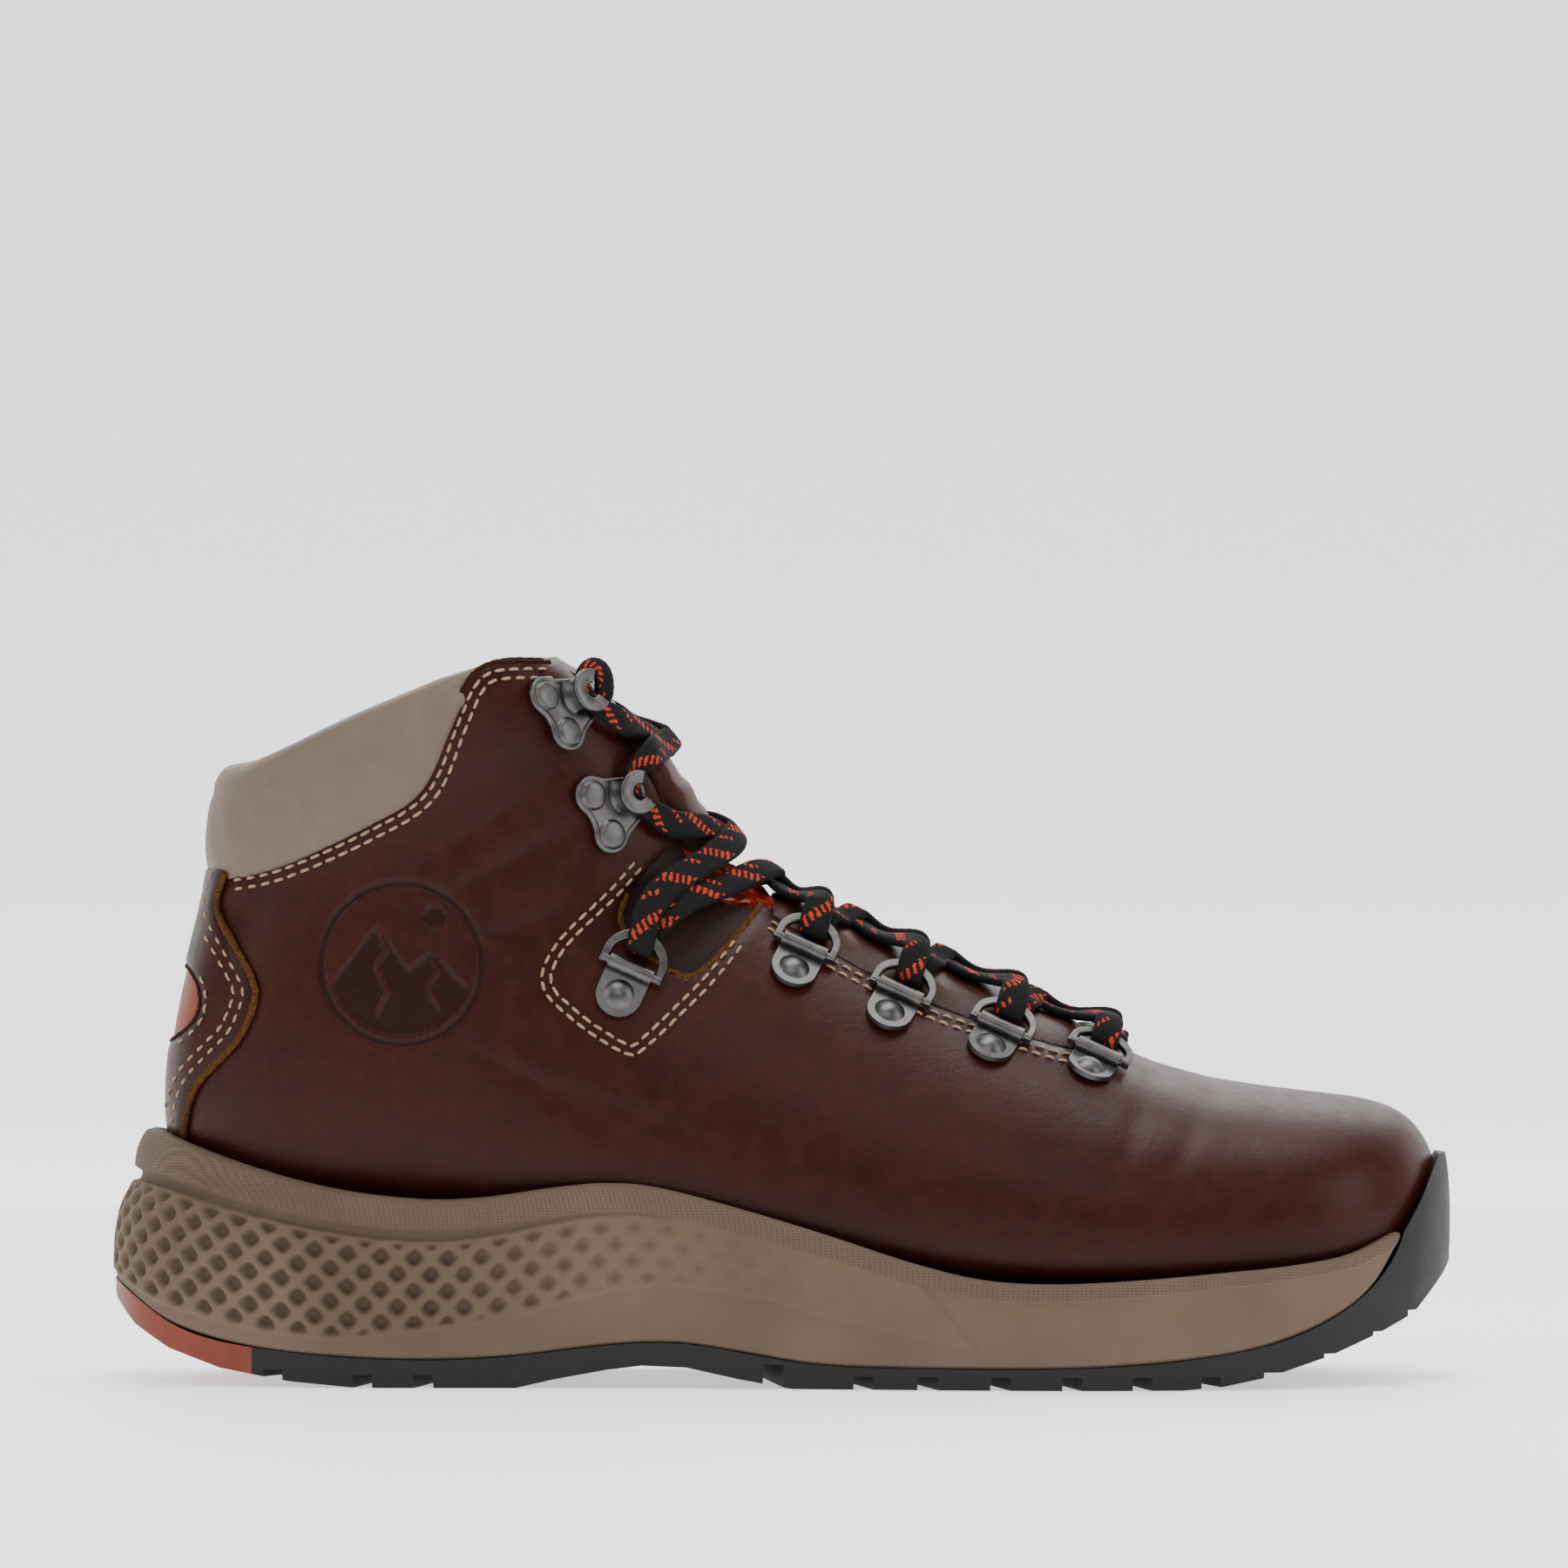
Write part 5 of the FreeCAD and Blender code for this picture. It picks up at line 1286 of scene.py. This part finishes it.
def arc_solid(x, y, section, start, finish, steps, flip=False):
    """A section of radii and heights swept through part of a turn about a place."""
    angles = np.radians(np.linspace(start, finish, steps))
    points = [(x + r * math.cos(a), y + r * math.sin(a), z) for a in angles for r, z in section]
    return np.array(points, float), ring_solid(steps, len(section), flip)


def hook_collar(x, y):
    """The open washer: a flat ring with bevelled edges over part of a turn."""
    (inner, outer), (low, high) = WASHER_RADII, WASHER_LEVELS
    section = [(inner, low + 0.2), (inner + 0.2, low), (outer - 0.3, low), (outer, low + 0.3),
               (outer, high - 0.35), (outer - 0.15, high - 0.1), (outer - 0.45, high),
               (inner + 0.3, high), (inner + 0.1, high - 0.08), (inner, high - 0.25)]
    return arc_solid(x, y, section, 72, 323, 56, flip=True)


def hook_neck(x, y):
    """The wall that carries the washer: it curves up out of the plate and into the washer's rim."""
    section = [(1.1, 0.9), (1.1, 1.2), (0.7, 1.6), (0.2, 2.6), (-0.02, 3.9), (-0.15, 4.9),
               (-1.3, 4.9), (-1.25, 3.0), (-1.0, 1.6), (-0.9, 0.9)]
    return arc_solid(x, y, [(WASHER_RADII[1] + r, z) for r, z in section], 150, 235, 20)


def build_hooks():
    """The lace hooks: a two-lobed plate with a pressed rim, two flat caps and the open washer."""
    for level, places in HOOKS.items():
        top, low, disc = (np.array(p) - hook_middle(level) for p in places)
        disc = disc - (1.1, 0.0)
        stripes = ((top, top + 0.1, 4.4), (low, low + 0.1, 4.4), (top, disc, 3.8),
                   (low, (4.0, -1.2), 3.5), (top, low, 3.3))

        def shape(x, y):
            distances = []
            for a, b, radius in stripes:
                ex, ey = b[0] - a[0], b[1] - a[1]
                share = np.clip(((x - a[0]) * ex + (y - a[1]) * ey) / (ex ** 2 + ey ** 2), 0, 1)
                distances.append(np.hypot(x - a[0] - share * ex, y - a[1] - share * ey) - radius)
            return soft_union(distances, 0.4)

        plate = joined([pressed_plate(plate_outline(shape, (-0.6, -0.4)), PLATE_STEPS),
                        hook_collar(*disc), hook_neck(*disc)])
        caps = joined([rivet_cap(*place, CAP_RADIUS, CAP_BASE) for place in (top, low)])
        for name, side in SIDES:
            axes = hook_frame(level, side)
            origin = from_frame(axes, 1.3 * side, 0.0, 0.25)
            for label, (points, faces), node in (("plate", plate, "lace_hook_%s_%s" % (name, level)),
                                                 ("caps", caps, "hook_rivets_" + name)):
                if side == INNER:
                    points, faces = points * (-1, 1, 1), [f[::-1] for f in faces]
                piece = make_piece("hook_%s_%s_%s" % (label, name, level), origin + points @ axes[1],
                                   faces, "satin_nickel", [METAL])
                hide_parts(node)


RIDGE_ALONG = np.linspace(0, LAST_END, 900)
RIDGE_X = last_points(RIDGE_ALONG, np.zeros(900))[:, 0]
# x of the ridge under each crossing: below the hooks, between the pairs of rings, the front bar
CROSSING_X = (-15.2, -4.4, 15.0, 35.6, 56.6, 73.6)
HOOK_CROSSING_X = -30.0
RING_CROSS_HEIGHTS = (1.75, 3.75)
TONGUE_CROSS_HEIGHTS = (3.5, 5.5)
BAR_HEIGHT = 1.75


def ridge_station(x, height, facing=1):
    """A station of the lace over the ridge."""
    along = np.interp(-x, -RIDGE_X, RIDGE_ALONG)
    place, normal = last_frames(np.array([along]), np.array([0.0]))
    return place[0] + normal[0] * height, normal[0] * facing


def between(first, second, height, facing=1):
    """A station half-way between two others, lying on the upper."""
    place, normal, _, _ = SURFACE.find_nearest(Vector((first[0] + second[0]) / 2))
    place, normal = np.array(place), np.array(normal)
    if normal @ (first[1] + second[1]) * facing < 0:
        normal = -normal
    return place + normal * height, normal * facing


def ring_stations(index, side):
    """The lace over a ring's bow, down through its opening and back out under the bow."""
    frame = clip_frame(index, side)
    _, towards, up = frame[1]
    tilt = math.radians(8.0)

    def ring(x, y, z):
        return from_frame(frame, x, y * math.cos(tilt) - z * math.sin(tilt),
                          BARREL_HEIGHT + y * math.sin(tilt) + z * math.cos(tilt))

    lean = np.array((1.6, -1.4) if index == 0 else (1.3, -1.3)) * side
    over = [(ring(lean[0], 12.2, 2.0), up), (ring(lean[0] * 0.6, 8.8, 2.3), up),
            (ring(lean[0] * 0.2, 6.2, 1.7), up * 0.8 - towards * 0.6),
            (ring(0.0, 4.6, -0.1), -towards)]
    under = [(ring(lean[1] * 0.2, 6.2, -1.9), -up * 0.8 - towards * 0.5),
             (ring(lean[1] * 0.6, 9.2, -2.2), -up), (ring(lean[1], 12.6, -1.7), -up)]
    return over, under


def hook_stations(level, side):
    """The lace round a hook's neck, under its washer, from below to above."""
    frame = hook_frame(level, side)
    x0, z0 = np.array(HOOKS[level][2]) - hook_middle(level)
    turn = [(5.6, -6.2, 2.4, 0.95), (2.0, -4.2, 2.6, 0.8), (-1.8, -1.7, 2.65, 0.66)]
    if level == "upper":
        turn += [(-3.2, 1.2, 2.7, 0.62), (-2.9, 3.7, 3.0, 0.62), (-0.9, 5.5, 3.4, 0.68),
                 (1.9, 4.9, 3.2, 0.74), (3.6, 2.2, 2.0, 0.78), (4.3, -1.0, -0.5, 0.8), (3.8, -4.0, -4.0, 0.8)]
    else:
        turn += [(-2.9, 1.3, 2.7, 0.66), (-2.0, 4.8, 2.9, 0.8), (1.2, 8.2, 3.6, 0.95)]
    up = frame[1][2]
    stations = [(from_frame(frame, -side * (x0 + x), z0 + z, height), up) for x, z, height, _ in turn]
    return stations, [t[3] for t in turn]


def turned_over(station):
    return station[0], -station[1]


def build_lace():
    """The lace, one piece for the turn through each ring and each hook, meeting over the ridge."""
    rings = {(i, side): ring_stations(i, side) for i in range(len(CLIPS)) for _, side in SIDES}
    hooks = {(level, side): hook_stations(level, side) for level in HOOKS for _, side in SIDES}
    front = len(CLIPS) - 1
    for name, side in SIDES:
        far = -side
        low, high = (0, 1) if side == OUTER else (1, 0)
        for i in range(len(CLIPS)):
            over, under = rings[(i, side)]
            if i == 0:
                height, ghost = TONGUE_CROSS_HEIGHTS[high], hooks[("lower", far)][0][0]
            else:
                height, ghost = RING_CROSS_HEIGHTS[low], turned_over(rings[(i - 1, far)][1][-1])
            ridge = ridge_station(CROSSING_X[i], height)
            start = [ghost, ridge, between(ridge, over[0], 1.9 + 0.35 * height)]
            if i == front:
                height, ghost = BAR_HEIGHT, rings[(i, far)][1][-1]
            else:
                height = RING_CROSS_HEIGHTS[high] + (0.8 if i == 0 else 0.0)
                ghost = turned_over(rings[(i + 1, far)][0][0])
            ridge = ridge_station(CROSSING_X[i + 1], height, -1)
            stations = [*start, *over, *under, between(under[-1], ridge, 1.6, -1), ridge, ghost]
            run = lace_ribbon(stations, len(stations) - 2, 7.3 * i + (3.1 if side == INNER else 0))
            piece = lace_piece("lace_ring_%s_%d" % (name, i + 1), run, None)
            axes = clip_frame(i, side)
            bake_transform(piece)
        for level in HOOKS:
            stations, widths = hooks[(level, side)]
            if level == "lower":
                ridge = ridge_station(CROSSING_X[0], TONGUE_CROSS_HEIGHTS[low])
                top = ridge_station(HOOK_CROSSING_X, TONGUE_CROSS_HEIGHTS[high])
                ghost = rings[(0, far)][0][0]
                after = [between(stations[-1], top, 3.2), top, hooks[("upper", far)][0][0]]
            else:
                ridge = ridge_station(HOOK_CROSSING_X, TONGUE_CROSS_HEIGHTS[low])
                ghost, after = hooks[("lower", far)][0][-1], []
            route = [ghost, ridge, between(ridge, stations[0], 2.6), *stations, *after]
            run = lace_ribbon(route, len(route) - (2 if after else 1), 11.0 if side == INNER else 2.0,
                              [1, 1, 1, *widths] + [1] * len(after))
            lace_piece("lace_hook_turn_%s_%s" % (name, level), run)


# ---------------------------------------------------------------- camera, lights and floor
def aim(thing, target):
    thing.rotation_euler = (Vector(target) - thing.location).to_track_quat("-Z", "Y").to_euler()


def build_camera():
    data = bpy.data.cameras.new("camera")
    data.lens = 300.0
    data.sensor_width = 36.0
    camera = placed("camera", data)
    middle = Vector((0.0, 0.0, 0.1364))
    camera.location = middle + Vector((0.0, -3.0, 0.05))
    aim(camera, middle)
    data.clip_start, data.clip_end = 0.05, 50.0
    bpy.context.scene.camera = camera


def area_light(name, place, target, size, power):
    data = bpy.data.lights.new(name, "AREA")
    data.shape, data.size, data.size_y = "RECTANGLE", size[0], size[1]
    data.energy = power
    light = placed(name, data)
    light.location = place
    aim(light, target)


def build_studio():
    """A white sweep behind the boot, a broad light over it and weaker ones at its sides."""
    area_light("key_top", (0.10, -0.10, 1.3), (0.0, 0.0, 0.08), (1.1, 0.55), 15.0)
    area_light("side_left", (-1.2, -0.55, 0.7), (0.0, 0.0, 0.08), (0.4, 0.9), 6.0)
    area_light("side_right", (1.2, -0.45, 0.65), (0.0, 0.0, 0.08), (0.4, 0.9), 6.0)
    area_light("front_high", (0.0, -1.5, 1.2), (0.0, 0.0, 0.06), (1.4, 0.6), 8.0)
    area_light("back_rim", (0.0, 0.9, 0.9), (0.0, 0.0, 0.1), (1.4, 0.5), 8.0)
    world = bpy.data.worlds.new("studio")
    bpy.context.scene.world = world
    world.use_nodes = True
    sky = world.node_tree.nodes["Background"].inputs
    sky["Color"].default_value = (1.0, 1.0, 1.0, 1.0)
    sky["Strength"].default_value = 0.26
    bend_y, bend = 3.4, 1.2
    profile = [(-8.0, 0.0), (-0.8, 0.0), (0.8, 0.0), (bend_y, 0.0)]
    profile += [(bend_y + bend * math.sin(t), bend - bend * math.cos(t))
                for t in np.linspace(0.05, math.pi / 2, 24)]
    profile.append((bend_y + bend, 6.0))
    points = [(side * 8.0, y, z) for y, z in profile for side in (-1, 1)]
    faces = [(2 * i, 2 * i + 1, 2 * i + 3, 2 * i + 2) for i in range(len(profile) - 1)]
    mesh = bpy.data.meshes.new("floor")
    mesh.from_pydata(points, [], faces)
    mesh.polygons.foreach_set("use_smooth", [True] * len(faces))
    floor = placed("floor", mesh)
    for name, glow in (("floor_near", 0.8), ("floor_far", 1.25)):
        s = Shader(name)
        fine = s.noise(400.0)
        mesh.materials.append(s.finish(Base_Color=s.mix(fine, (0.9, 0.9, 0.9), (0.93, 0.93, 0.93)),
                                       Roughness=0.5, Specular_IOR_Level=0.2,
                                       Emission_Color=(1.0, 1.0, 1.0, 1.0), Emission_Strength=glow))
    mesh.polygons.foreach_set("material_index", [int(i > 1) for i in range(len(faces))])


build_camera()
build_studio()
finish_cad_nodes()
build_upper()
build_heel_panel()
build_flex_patches()
build_collar()
build_tongue()
build_instep()
build_gusset()
build_lining()
build_midsole()
build_seams()
build_hooks()
build_lace()
